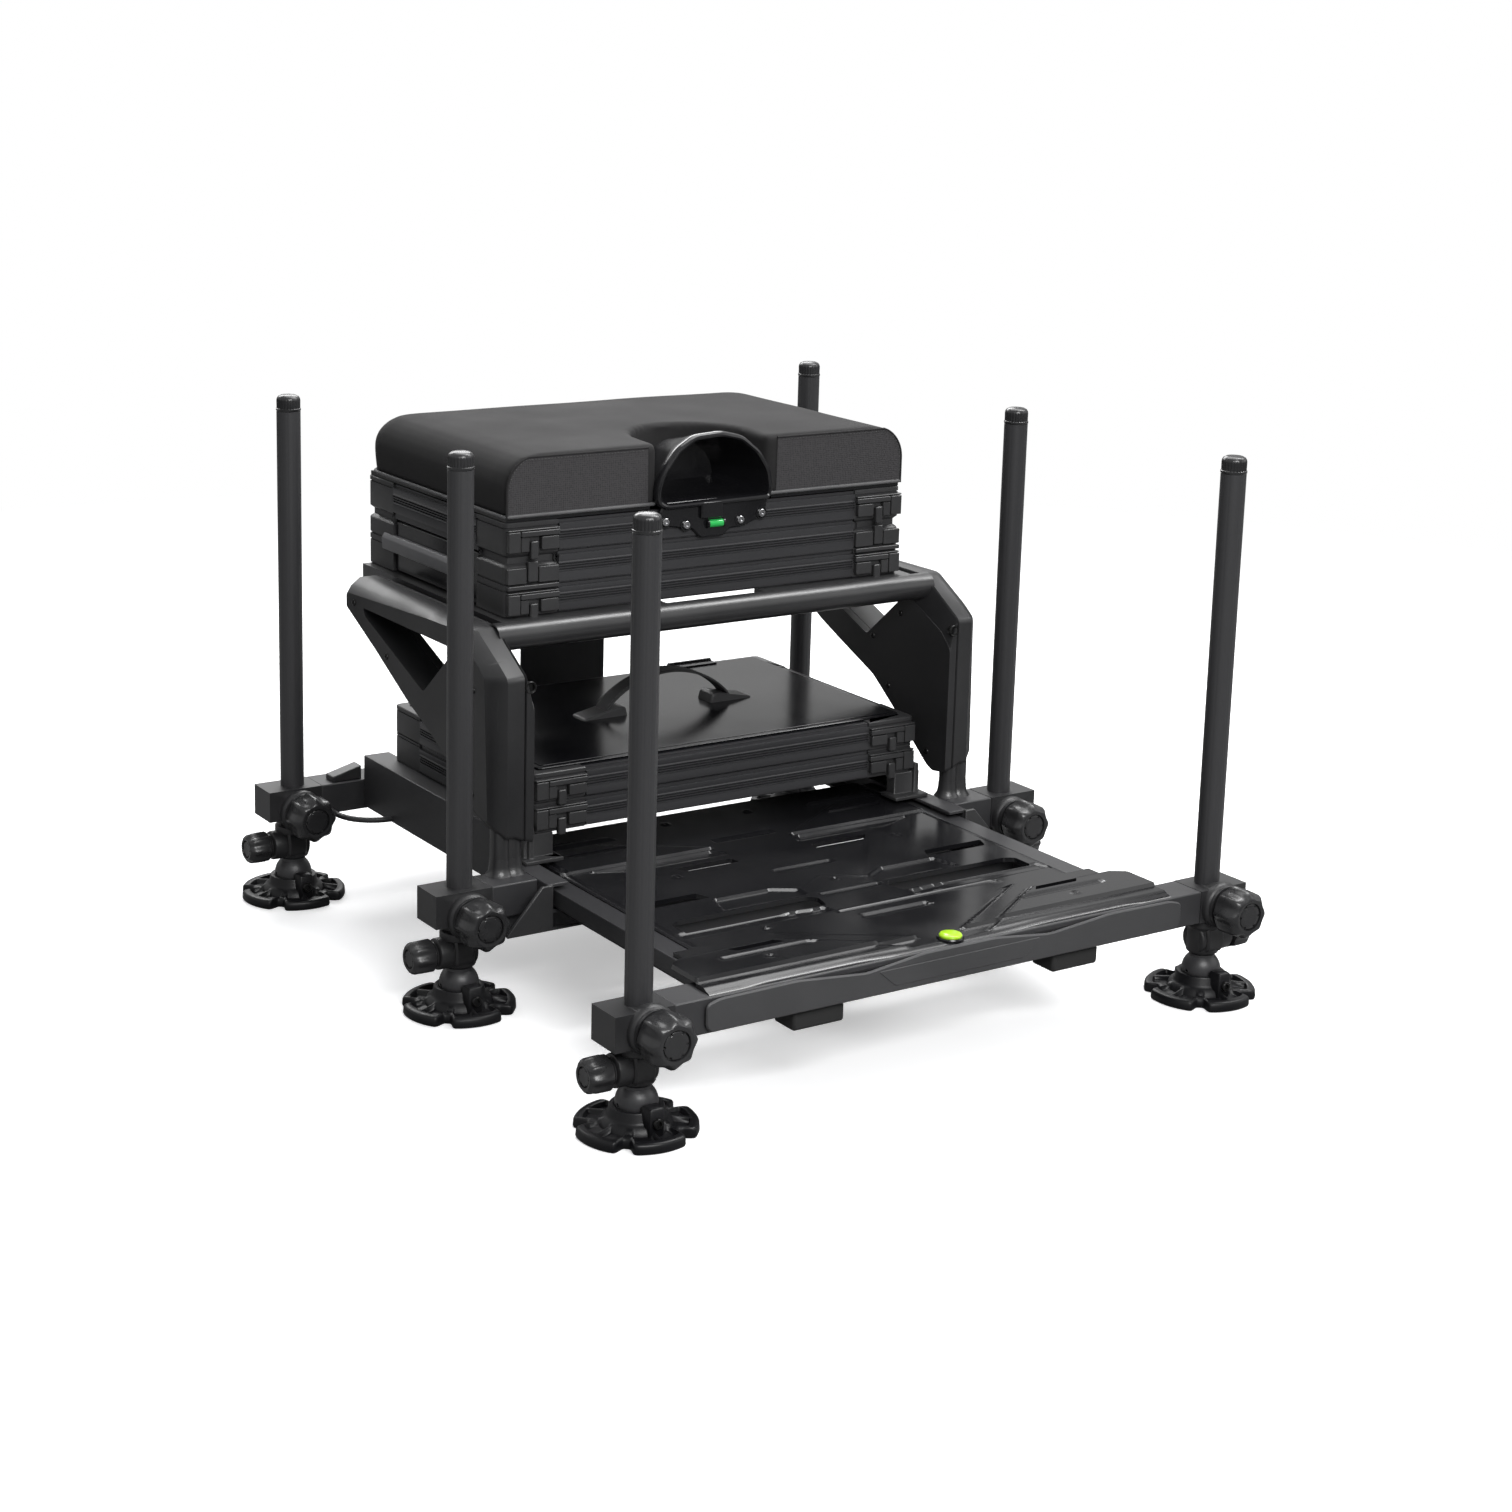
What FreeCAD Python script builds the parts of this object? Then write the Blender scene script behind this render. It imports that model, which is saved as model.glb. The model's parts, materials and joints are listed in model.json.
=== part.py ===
# Fishing seat box: a six-legged frame that carries a padded seat over stacked tackle trays,
# with a sliding footplate in front. Millimetres. +Z is up, -Y is the side the angler faces,
# and the origin is on the ground under the middle of the whole seat box.
import FreeCAD, Part
import Sketcher
import os
import re

V = FreeCAD.Vector
doc = FreeCAD.newDocument("fishing_seat_box")

# Driving dimensions: name, value, meaning.
SIZES = (
    ("leg_spread", 331, "leg axis from the middle plane"),
    ("rear_leg_y", 363, "rear legs"),
    ("mid_leg_y", -22, "middle legs"),
    ("front_leg_y", -353, "front legs, on the footplate"),
    ("leg_dia", 25, "leg tube outside"),
    ("leg_wall", 1.5, "leg tube wall"),
    ("leg_top", 548, "top of the leg caps"),
    ("leg_low", 70, "lower end of the leg tube, inside its collar"),
    ("cap_tall", 17, "cap above the tube"),
    ("cap_plug", 15, "cap plug inside the tube"),
    ("run_gap", 0.08, "radial gap of a running fit"),
    ("free_gap", 0.4, "gap between pieces that move past each other"),
    ("inner_long", 378, "inner leg above its ball neck"),
    ("inner_wall", 1.5, "inner leg wall"),
    ("collar_low", 46, "collar, lowest point"),
    ("collar_high", 81, "collar, highest point"),
    ("collar_dia", 33, "collar round the leg"),
    ("collar_ring", 38, "collar's upper ring"),
    ("collar_ring_tall", 7, "collar's upper ring height"),
    ("barrel_dia", 31, "collar's side barrel"),
    ("barrel_out", 27, "barrel end from the leg axis"),
    ("barrel_height", 60, "barrel axis above the ground"),
    ("ball_dia", 39, "foot ball"),
    ("ball_height", 27, "foot ball centre above the ground"),
    ("ball_neck", 26, "neck over the ball"),
    ("ball_hole", 4, "cross hole through the ball"),
    ("foot_dia", 110, "mud foot"),
    ("foot_rim", 6, "mud foot rim"),
    ("foot_slope", 7, "rise from the rim to the socket"),
    ("socket_dia", 50, "socket round the ball"),
    ("socket_top", 25, "socket edge above the ground"),
    ("lug_wide", 15, "bolt lug on the socket"),
    ("lug_out", 35, "bolt lug face from the ball centre"),
    ("lug_top", 32, "bolt lug top above the ground"),
    ("notch_wide", 17, "rim notch between lobes"),
    ("notch_deep", 15, "rim notch depth"),
    ("big_knob_dia", 50, "clamp knob"),
    ("big_knob_tall", 30, "clamp knob head"),
    ("big_ring_dia", 36, "clamp knob's ring"),
    ("big_stud_dia", 8, "clamp knob's screw"),
    ("small_knob_dia", 34, "collar knob"),
    ("small_knob_tall", 24, "collar knob head"),
    ("small_ring_dia", 25, "collar knob's ring"),
    ("small_stud_dia", 6, "collar knob's screw"),
    ("knob_ring_tall", 3, "ring between knob head and seat"),
    ("clamp_height", 100, "clamp knob axis above the ground"),
    ("block_in", 306, "leg block's inner end from the middle plane"),
    ("block_out", 366, "leg block's outer end from the middle plane"),
    ("arm_deep", 40, "arm section, front to back"),
    ("arm_tall", 33, "arm section height"),
    ("arm_wall", 2.5, "arm section wall"),
    ("base_arm_top", 125, "top of the base arms"),
    ("bar_top", 117, "top of the footplate's front bar"),
    ("boss_dia", 42, "boss under the clamp knob"),
    ("boss_out", 31, "boss face in front of the leg axis"),
    ("under_neck", 7, "neck below a base block"),
    ("wall_out", 256, "side rail's outer face"),
    ("wall_thick", 4, "side rail's web"),
    ("channel_front", -62, "front end of the side rails"),
    ("channel_low", 95, "underside of the side rails"),
    ("channel_lip", 233, "edge of the channel's flanges"),
    ("flange", 3.5, "flange thickness"),
    ("deck_carrier", 152.2, "top of the side rails under the lower box"),
    ("tall_front", 28, "front end of the side rails' tall part"),
    ("carrier_lip", 226, "edge of the upper flange"),
    ("cross_low", 68, "underside of the front cross tube"),
    ("cross_high", 86, "top of the front cross tube"),
    ("cross_deep", 24, "front cross tube, front to back"),
    ("cross_reach", 290, "front cross tube's end from the middle plane"),
    ("rail_out", 248, "footplate rail's outer face"),
    ("rail_step", 234.5, "footplate rail, inside of its runner head"),
    ("rail_stem", 232, "footplate rail, outside of its stem"),
    ("rail_in", 224, "footplate rail's inner face"),
    ("rail_top", 118, "footplate rail's top"),
    ("rail_head_low", 101, "underside of the runner head"),
    ("rail_low", 88, "footplate rail's underside"),
    ("rail_rear", 86, "footplate rail's rear end"),
    ("ledge_wide", 10, "ledge that carries the deck"),
    ("ledge_thick", 3, "ledge thickness"),
    ("deck_low", 113, "deck underside"),
    ("deck_thick", 6, "deck thickness"),
    ("deck_rear", 93, "deck's rear edge"),
    ("lip_half", 271, "deck lip over the front bar, half width"),
    ("lip_wing", 49, "rear edge of the lip's wide part, behind the front legs"),
    ("lip_rear", 82, "rear edge of the lip over the rails, behind the front legs"),
    ("lip_tall", 7, "deck lip above the front bar"),
    ("lip_thick", 3, "fascia thickness"),
    ("fascia_low", 86, "fascia's lower edge"),
    ("level_dia", 22, "footplate level"),
    ("level_tall", 7, "footplate level height"),
    ("rubber_x", 150, "rubber block from the middle plane"),
    ("rubber_wide", 56, "rubber block width"),
    ("rubber_deep", 32, "rubber block, front to back"),
    ("rubber_tall", 19, "rubber block height"),
    ("post_x", 275, "seat post from the middle plane"),
    ("post_y", -11, "seat post"),
    ("lobe_dia", 19, "one lobe of the post tube"),
    ("lobe_apart", 13, "distance between the lobe centres"),
    ("post_top", 305, "top of the post tube"),
    ("side_bar_low", 341.5, "seat frame's side bar, underside"),
    ("side_bar_high", 357, "seat frame's side bar, top"),
    ("side_bar_rear", 298.5, "seat frame's side bar, rear end"),
    ("side_bar_wide", 20, "seat frame side, thickness"),
    ("tube_dia", 28, "seat frame's cross tubes"),
    ("front_tube_y", 35, "front cross tube"),
    ("rear_tube_y", 284.5, "rear cross tube"),
    ("tube_height", 350, "front cross tube axis above the ground"),
    ("rear_tube_height", 343, "rear cross tube axis above the ground"),
    ("bearer_x", 223, "bearer under the upper box, from the middle plane"),
    ("bearer_wide", 54, "bearer width"),
    ("bearer_low", 347, "bearer, underside"),
    ("bearer_rear", 356, "bearer's rear end"),
    ("pad_in", 60, "front pad's inner end, from the middle plane"),
    ("pad_deep", 22, "front pad, front to back"),
    ("pad_tall", 5, "front pad height"),
    ("cover_in", 252, "side cover's inner face"),
    ("cover_out", 296, "side cover's outer face"),
    ("cover_split", 262, "seam between a side cover's two shells"),
    ("cover_bevel", 9, "bevel round the outer face's front and top"),
    ("cover_bevel_in", 5, "bevel round the inner face's front and top"),
    ("cover_wall", 2.5, "side cover wall"),
    ("cover_front", -26, "side cover's front edge"),
    ("cover_rear", 302, "side cover's rear end"),
    ("cover_top", 361.5, "side cover's top"),
    ("cover_bend", 324, "front edge turns back at this height"),
    ("cover_shoulder", 36, "front edge meets the top here"),
    ("cover_low", 154, "inner shell's lowest point"),
    ("cover_low_front", 160, "inner shell's lower front corner"),
    ("cover_low_out", 173, "outer shell's lowest point"),
    ("low_z", 152.5, "lower box underside"),
    ("low_top", 214, "lower box rim"),
    ("low_half", 234, "lower box half width"),
    ("low_front", 8, "lower box front"),
    ("low_rear", 313, "lower box rear"),
    ("top_low", 362, "upper box underside"),
    ("tray_line", 418, "joint of the deep unit and the seat tray"),
    ("top_high", 457, "seat tray rim"),
    ("top_half", 240.5, "upper box half width"),
    ("top_front", 57, "upper box front"),
    ("top_rear", 362, "upper box rear"),
    ("corner_wide", 60, "corner block along each side"),
    ("corner_thick", 12, "corner block wall"),
    ("panel_inset", 2.5, "wall panels behind the corner faces"),
    ("panel_thick", 6, "wall panel"),
    ("floor_thick", 2.5, "tray floor"),
    ("lid_thick", 4, "lower box lid"),
    ("hinge_dia", 7, "hinge barrel"),
    ("pin_dia", 3, "hinge pin"),
    ("barrel_long", 50, "hinge barrel"),
    ("barrel_x", 140, "hinge barrel from the middle plane"),
    ("handle_x", 12, "carry handle's middle"),
    ("handle_y", 163, "carry handle"),
    ("handle_span", 150, "between the handle's ends"),
    ("handle_rise", 36, "strap above its ends"),
    ("strap_wide", 24, "handle strap width"),
    ("strap_thick", 3, "handle strap"),
    ("end_long", 46, "handle end piece"),
    ("end_tall", 10, "handle end piece height"),
    ("drawer_front", 118, "drawer's front edge, towards the angler"),
    ("drawer_rear", 301, "drawer's rear edge"),
    ("drawer_long", 384, "drawer depth across the box"),
    ("drawer_wall", 2.5, "drawer wall"),
    ("drawer_gap", 2, "drawer gap all round"),
    ("pull_tall", 11, "drawer pull bar height"),
    ("pull_deep", 6, "drawer pull bar thickness"),
    ("board_thick", 4, "seat board"),
    ("seat_top", 525, "seat cushion's crown"),
    ("seat_round", 30, "cushion corner radius seen from above"),
    ("scoop_dia", 148, "cushion scoop round the hood"),
    ("scoop_y", 86, "centre of the scoop"),
    ("hood_half", 71, "hood mouth half width"),
    ("hood_low", 458, "hood mouth bottom"),
    ("hood_high", 532, "hood mouth top"),
    ("hood_front", 48, "hood mouth plane"),
    ("hood_deep", 80, "hood depth"),
    ("hood_narrow", 30, "hood's inset on each side at its rear"),
    ("hood_wall", 3, "hood wall"),
    ("level_rod", 8, "spirit level tube under the hood"),
    ("latch_wide", 50, "latch plate"),
    ("latch_thick", 2.5, "latch plate thickness"),
    ("loop_out", 44, "strap loop's radius"),
    ("loop_dia", 6, "strap loop rod"),
    ("loop_height", 99, "strap loop above the ground"),
    ("back_half", 54, "rear plate half width"),
    ("back_thick", 3, "rear plate"),
)
VALUE = {name: value for name, value, meaning in SIZES}

sheet = doc.addObject("Spreadsheet::Sheet", "dims")
for row, (name, value, meaning) in enumerate(SIZES, 1):
    sheet.set(f"A{row}", name)
    sheet.set(f"B{row}", str(value))
    sheet.set(f"C{row}", meaning)
    sheet.setAlias(f"B{row}", name)
doc.recompute()

SIDES = (("left", -1), ("right", 1))
ROWS = (("rear", "rear_leg_y"), ("mid", "mid_leg_y"), ("front", "front_leg_y"))
NODES = []


def bound(text):
    """Puts the sheet's name before each dimension named in an expression."""
    return re.sub(r"[a-z][a-z_]+", lambda word: "dims." + word.group(0) if word.group(0) in VALUE else word.group(0), text)


def size(name):
    """Reads one dimension back from the sheet."""
    return float(sheet.get(name))


def place(thing, x, y, z):
    for axis, text in zip("xyz", (x, y, z)):
        thing.setExpression("Placement.Base." + axis, bound(text))


def box(name, xs, ys, zs):
    """A box between two expressions on each axis."""
    thing = doc.addObject("Part::Box", name)
    for prop, (low, high) in zip(("Length", "Width", "Height"), (xs, ys, zs)):
        thing.setExpression(prop, bound(f"({high}) - ({low})"))
    place(thing, xs[0], ys[0], zs[0])
    return thing


def side_box(name, side, xs, ys, zs):
    """A box on one side: xs runs outwards from the middle plane."""
    if side > 0:
        return box(name, xs, ys, zs)
    return box(name, (f"-({xs[1]})", f"-({xs[0]})"), ys, zs)


def rod(name, base, radius, long, direction=V(0, 0, 1)):
    """A cylinder from a base point along a direction."""
    thing = doc.addObject("Part::Cylinder", name)
    thing.Placement = FreeCAD.Placement(V(0, 0, 0), FreeCAD.Rotation(V(0, 0, 1), direction))
    thing.setExpression("Radius", bound(radius))
    thing.setExpression("Height", bound(long))
    place(thing, *base)
    return thing


def cone(name, base, low_radius, high_radius, tall):
    thing = doc.addObject("Part::Cone", name)
    thing.setExpression("Radius1", bound(low_radius))
    thing.setExpression("Radius2", bound(high_radius))
    thing.setExpression("Height", bound(tall))
    place(thing, *base)
    return thing


def ball(name, centre, radius):
    thing = doc.addObject("Part::Sphere", name)
    thing.setExpression("Radius", bound(radius))
    place(thing, *centre)
    return thing


def fuse(name, things):
    whole = doc.addObject("Part::MultiFuse", name)
    whole.Shapes = things
    whole.Refine = True
    return whole


def group(name, things):
    """Separate solids that share one node."""
    whole = doc.addObject("Part::Compound", name)
    whole.Links = things
    return whole


def cut(name, base, tools):
    whole = doc.addObject("Part::Cut", name)
    whole.Base = base
    whole.Tool = tools[0] if len(tools) == 1 else group(name + "_tools", tools)
    return whole


def node(thing, label):
    thing.Label = label
    NODES.append(thing)
    return thing


def sketch_on(body, role, name):
    drawing = body.newObject("Sketcher::SketchObject", name)
    plane = [feature for feature in body.Origin.OriginFeatures if feature.Role == role][0]
    drawing.AttachmentSupport = (plane, "")
    drawing.MapMode = "FlatFace"
    return drawing


def outline(drawing, corners):
    """A closed outline whose corners are pairs of expressions."""
    first = drawing.GeometryCount
    count = len(corners)
    for i in range(count):
        j = (i + 1) % count
        drawing.addGeometry(Part.LineSegment(V(i, i * i, 0), V(j, j * j, 0)))
    for i in range(count):
        drawing.addConstraint(Sketcher.Constraint("Coincident", first + i, 2, first + (i + 1) % count, 1))
        for kind, text in zip(("DistanceX", "DistanceY"), corners[i]):
            index = drawing.addConstraint(Sketcher.Constraint(kind, -1, 1, first + i, 1, 1.0 + i))
            drawing.setExpression(f"Constraints[{index}]", bound(text))


def disc(drawing, x, radius):
    """A circle on the sketch's horizontal axis."""
    index = drawing.addGeometry(Part.Circle(V(1, 0, 0), V(0, 0, 1), 5))
    drawing.addConstraint(Sketcher.Constraint("PointOnObject", index, 3, -1))
    for constraint, text in ((Sketcher.Constraint("DistanceX", -1, 1, index, 3, 1.0), x),
                             (Sketcher.Constraint("Radius", index, 5.0), radius)):
        number = drawing.addConstraint(constraint)
        drawing.setExpression(f"Constraints[{number}]", bound(text))


def pad(body, drawing, name, long, backwards=False):
    feature = body.newObject("PartDesign::Pad", name)
    feature.Profile = drawing
    feature.setExpression("Length", bound(long))
    feature.Reversed = backwards
    return feature


def plate(name, role, corners, long, backwards=False, holes=()):
    """A body made of one outline, with polygonal holes, padded along its plane's normal."""
    body = doc.addObject("PartDesign::Body", name)
    drawing = sketch_on(body, role, name + "_outline")
    outline(drawing, corners)
    for hole in holes:
        outline(drawing, hole)
    pad(body, drawing, name + "_pad", long, backwards)
    return body


def knob(name, kind, stud_long):
    """A lobed hand knob whose axis is local +Z, its seat at z 0 and its screw below it."""
    body = doc.addObject("PartDesign::Body", name)
    head = sketch_on(body, "XY_Plane", name + "_head")
    head.AttachmentOffset = FreeCAD.Placement(V(0, 0, VALUE["knob_ring_tall"]), FreeCAD.Rotation())
    head.setExpression("AttachmentOffset.Base.z", bound("knob_ring_tall"))
    disc(head, "0", f"{kind}_knob_dia / 2")
    pad(body, head, name + "_pad", f"{kind}_knob_tall")
    doc.recompute()
    flute = sketch_on(body, "XY_Plane", name + "_flute")
    disc(flute, f"{kind}_knob_dia * 0.67", f"{kind}_knob_dia * 0.22")
    groove = body.newObject("PartDesign::Pocket", name + "_groove")
    groove.Profile = flute
    groove.Reversed = True
    groove.setExpression("Length", bound(f"knob_ring_tall + {kind}_knob_tall + 1"))
    around = body.newObject("PartDesign::PolarPattern", name + "_grooves")
    around.Originals = [groove]
    around.Axis = (flute, ["N_Axis"])
    around.Angle = 360
    around.Occurrences = 8
    body.Tip = around
    doc.recompute()
    face = sketch_on(body, "XY_Plane", name + "_recess")
    face.setExpression("AttachmentOffset.Base.z", bound(f"knob_ring_tall + {kind}_knob_tall - 3"))
    disc(face, "0", f"{kind}_knob_dia * 0.27")
    recess = body.newObject("PartDesign::Pocket", name + "_dish")
    recess.Profile = face
    recess.Reversed = True
    recess.Length = 4
    ring = sketch_on(body, "XY_Plane", name + "_ring")
    disc(ring, "0", f"{kind}_ring_dia / 2")
    pad(body, ring, name + "_ring_pad", "knob_ring_tall")
    screw = sketch_on(body, "XY_Plane", name + "_screw")
    disc(screw, "0", f"{kind}_stud_dia / 2")
    pad(body, screw, name + "_screw_pad", stud_long, True)
    return body


# Legs: a clamped outer tube with its cap and collar, an inner leg on a ball, and a mud foot.
BARREL_LOW = "barrel_height - barrel_dia / 2"


def leg(name, side, row):
    x = f"{side} * leg_spread"
    outer = "leg_dia / 2"
    bore = "leg_dia / 2 - leg_wall"
    tube_top = "leg_top - cap_tall"
    tube = cut(name + "_tube", rod(name + "_tube_out", (x, row, "leg_low"), outer, f"{tube_top} - leg_low"),
               [rod(name + "_tube_in", (x, row, "leg_low - 1"), bore, f"{tube_top} - leg_low + 2")])
    dome = 4
    cap = fuse(name + "_cap", [
        rod(name + "_cap_plug", (x, row, f"{tube_top} - cap_plug"), f"{bore} - run_gap", "cap_plug"),
        rod(name + "_cap_body", (x, row, tube_top), outer, f"cap_tall - {dome}"),
        cone(name + "_cap_dome", (x, row, f"leg_top - {dome}"), outer, f"{outer} - {dome}", str(dome))])
    along = V(side, 0, 0)
    collar_body = fuse(name + "_collar_body", [
        rod(name + "_collar_low", (x, row, "collar_low"), "collar_dia / 2", "collar_high - collar_low"),
        rod(name + "_collar_ring", (x, row, "collar_high - collar_ring_tall"), "collar_ring / 2", "collar_ring_tall"),
        rod(name + "_barrel", (x, row, "barrel_height"), "barrel_dia / 2", "barrel_out", along)])
    collar = cut(name + "_collar", collar_body, [
        fuse(name + "_collar_bores", [
            rod(name + "_collar_bore", (x, row, f"{BARREL_LOW} - 1"), bore, f"leg_low - ({BARREL_LOW}) + 2"),
            rod(name + "_collar_seat", (x, row, "leg_low"), outer, "collar_high - leg_low + 1"),
            rod(name + "_screw_hole", (x, row, "barrel_height"), "small_stud_dia / 2 + run_gap",
                "barrel_out + 1", along)])])
    return node(group(name, [tube, cap, collar]), name)


def inner_leg(name, side, row):
    x = f"{side} * leg_spread"
    radius = "(leg_dia / 2 - leg_wall - run_gap)"
    neck_top = f"{BARREL_LOW} - free_gap"
    foot_ball = ball(name + "_ball", (x, row, "ball_height"), "ball_dia / 2")
    pin_hole = rod(name + "_pin_hole", (f"{x} - ball_dia", row, "ball_height"), "ball_hole / 2", "2 * ball_dia", V(1, 0, 0))
    neck = rod(name + "_neck", (x, row, "ball_height"), "ball_neck / 2", f"{neck_top} - ball_height")
    tube = rod(name + "_tube", (x, row, "ball_height"), radius, "collar_low - ball_height + inner_long")
    hollow = rod(name + "_hollow", (x, row, "collar_low"), f"{radius} - inner_wall", "inner_long + 1")
    holes = group(name + "_holes", [hollow, pin_hole])
    return node(cut(name, fuse(name + "_solid", [foot_ball, neck, tube]), [holes]), name)


def mud_foot(name, side, row):
    """A round foot with a socket over the lower half of the ball, a bolt lug and rim notches."""
    x = f"{side} * leg_spread"
    body = fuse(name + "_body", [
        rod(name + "_rim", (x, row, "0"), "foot_dia / 2", "foot_rim"),
        cone(name + "_slope", (x, row, "foot_rim"), "foot_dia / 2 - 2", "socket_dia / 2", "foot_slope"),
        rod(name + "_socket", (x, row, "foot_rim"), "socket_dia / 2", "socket_top - foot_rim"),
        box(name + "_lug", (f"{x} - lug_wide / 2", f"{x} + lug_wide / 2"),
            (f"{row} - lug_out", f"{row} - ball_dia / 2"), ("foot_rim", "lug_top"))])
    tools = [ball(name + "_seat", (x, row, "ball_height"), "ball_dia / 2 + free_gap")]
    for i, turn in enumerate((30, 150, 270)):
        notch = doc.addObject("Part::Box", f"{name}_notch_{i}")
        notch.setExpression("Length", bound("notch_deep + 5"))
        notch.setExpression("Width", bound("notch_wide"))
        notch.setExpression("Height", bound("foot_rim + foot_slope"))
        spin = FreeCAD.Rotation(V(0, 0, 1), turn)
        notch.Placement = FreeCAD.Placement(V(0, 0, 0), spin)
        out = spin.multVec(V(1, 0, 0))
        across = spin.multVec(V(0, 1, 0))
        place(notch,
              f"{x} + {out.x:.6f} * (foot_dia / 2 - notch_deep) - {across.x:.6f} * notch_wide / 2",
              f"{row} + {out.y:.6f} * (foot_dia / 2 - notch_deep) - {across.y:.6f} * notch_wide / 2",
              "-1")
        tools.append(notch)
    return node(cut(name, body, tools), name)


# Leg blocks: castings on the arm ends, bored for the leg and for the clamp knob's screw.
def leg_block(name, side, row, top, neck):
    x = f"{side} * leg_spread"
    low = f"{top} - arm_tall"
    ahead = V(0, -1, 0)
    pieces = [
        side_box(name + "_body", side, ("block_in", "block_out"),
                 (f"{row} - arm_deep / 2", f"{row} + arm_deep / 2"), (low, top)),
        rod(name + "_boss", (x, row, "clamp_height"), "boss_dia / 2", "boss_out", ahead)]
    if neck:
        pieces.append(rod(name + "_neck", (x, row, f"{low} - under_neck"), "collar_ring / 2", "under_neck + 1"))
    bores = fuse(name + "_bores", [
        rod(name + "_leg_bore", (x, row, "0"), "leg_dia / 2 + run_gap", "leg_top"),
        rod(name + "_screw_bore", (x, row, "clamp_height"), "big_stud_dia / 2 + run_gap", "boss_out + 1", ahead),
        rod(name + "_collar_room", (x, row, "collar_low"), "collar_ring / 2 + free_gap",
            "collar_high + free_gap - collar_low")])
    return cut(name, fuse(name + "_casting", pieces), [bores])


for row_name, row in ROWS:
    for side_name, side in SIDES:
        where = f"{row_name}_{side_name}"
        leg("leg_" + where, side, row)
        inner_leg("inner_leg_" + where, side, row)
        mud_foot("mud_foot_" + where, side, row)
        tip = "leg_dia / 2 + free_gap"
        clamp = knob("clamp_knob_" + where, "big", f"boss_out + free_gap - ({tip})")
        clamp.Placement = FreeCAD.Placement(V(0, 0, 0), FreeCAD.Rotation(V(0, 0, 1), V(0, -1, 0)))
        place(clamp, f"{side} * leg_spread", f"{row} - boss_out - free_gap", "clamp_height")
        node(clamp, "clamp_knob_" + where)
        inner_radius = "leg_dia / 2 - leg_wall"
        small = knob("foot_knob_" + where, "small", f"barrel_out + free_gap - ({inner_radius} + free_gap)")
        small.Placement = FreeCAD.Placement(V(0, 0, 0), FreeCAD.Rotation(V(0, 0, 1), V(side, 0, 0)))
        place(small, f"{side} * (leg_spread + barrel_out + free_gap)", row, "barrel_height")
        node(small, "foot_knob_" + where)

node(group("leg_blocks", [leg_block(f"block_{r}_{s}", side, row, "base_arm_top", True)
                          for r, row in ROWS[:2] for s, side in SIDES]), "leg_blocks")
node(group("footplate_blocks", [leg_block(f"block_front_{s}", side, "front_leg_y", "bar_top", False)
                                for s, side in SIDES]), "footplate_blocks")


# Base frame: two side rails, a rear beam, the middle arms and a cross tube under the footplate.
rear_face = "rear_leg_y - arm_deep / 2"


def side_rail(name, side):
    """A channel, open inwards, that grows a tall web with a flange under the lower box."""
    web = ("wall_out - wall_thick", "wall_out")
    lip = ("channel_lip", "wall_out")
    run = ("channel_front", rear_face)
    tall = ("tall_front", rear_face)
    return fuse(name, [
        side_box(name + "_web", side, web, run, ("channel_low", "base_arm_top")),
        side_box(name + "_low", side, lip, run, ("channel_low", "channel_low + flange")),
        side_box(name + "_mid", side, lip, run, ("base_arm_top - flange", "base_arm_top")),
        side_box(name + "_tall", side, web, tall, ("base_arm_top - 1", "deck_carrier")),
        side_box(name + "_carrier", side, ("carrier_lip", "wall_out"), tall, ("deck_carrier - flange", "deck_carrier"))])


def hollow_bar(name, xs, ys, zs):
    """A rectangular tube that runs along X."""
    inner = box(name + "_hollow", (f"({xs[0]}) - 1", f"({xs[1]}) + 1"),
                (f"({ys[0]}) + arm_wall", f"({ys[1]}) - arm_wall"), (f"({zs[0]}) + arm_wall", f"({zs[1]}) - arm_wall"))
    return cut(name, box(name + "_bar", xs, ys, zs), [inner])


node(group("side_rails", [side_rail("side_rail_" + s, side) for s, side in SIDES]), "side_rails")

arm_zs = ("base_arm_top - arm_tall", "base_arm_top")
mid_ys = ("mid_leg_y - arm_deep / 2", "mid_leg_y + arm_deep / 2")
cross_ys = ("mid_leg_y - cross_deep / 2", "mid_leg_y + cross_deep / 2")
beams = [hollow_bar("rear_beam", ("-block_in", "block_in"), (rear_face, "rear_leg_y + arm_deep / 2"), arm_zs)]
beams.append(hollow_bar("mid_arm_left", ("-block_in", "-wall_out"), mid_ys, arm_zs))
beams.append(hollow_bar("mid_arm_right", ("wall_out", "block_in"), mid_ys, arm_zs))
cross_tube = hollow_bar("cross_tube", ("-cross_reach", "cross_reach"), cross_ys, ("cross_low", "cross_high"))
risers = [side_box("riser_" + s, side, ("wall_out + 3", "cross_reach"), cross_ys,
                   ("cross_high", "base_arm_top - arm_tall")) for s, side in SIDES]
beams.append(fuse("under_cross", [cross_tube] + risers))
node(group("cross_beams", beams), "cross_beams")

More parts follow.
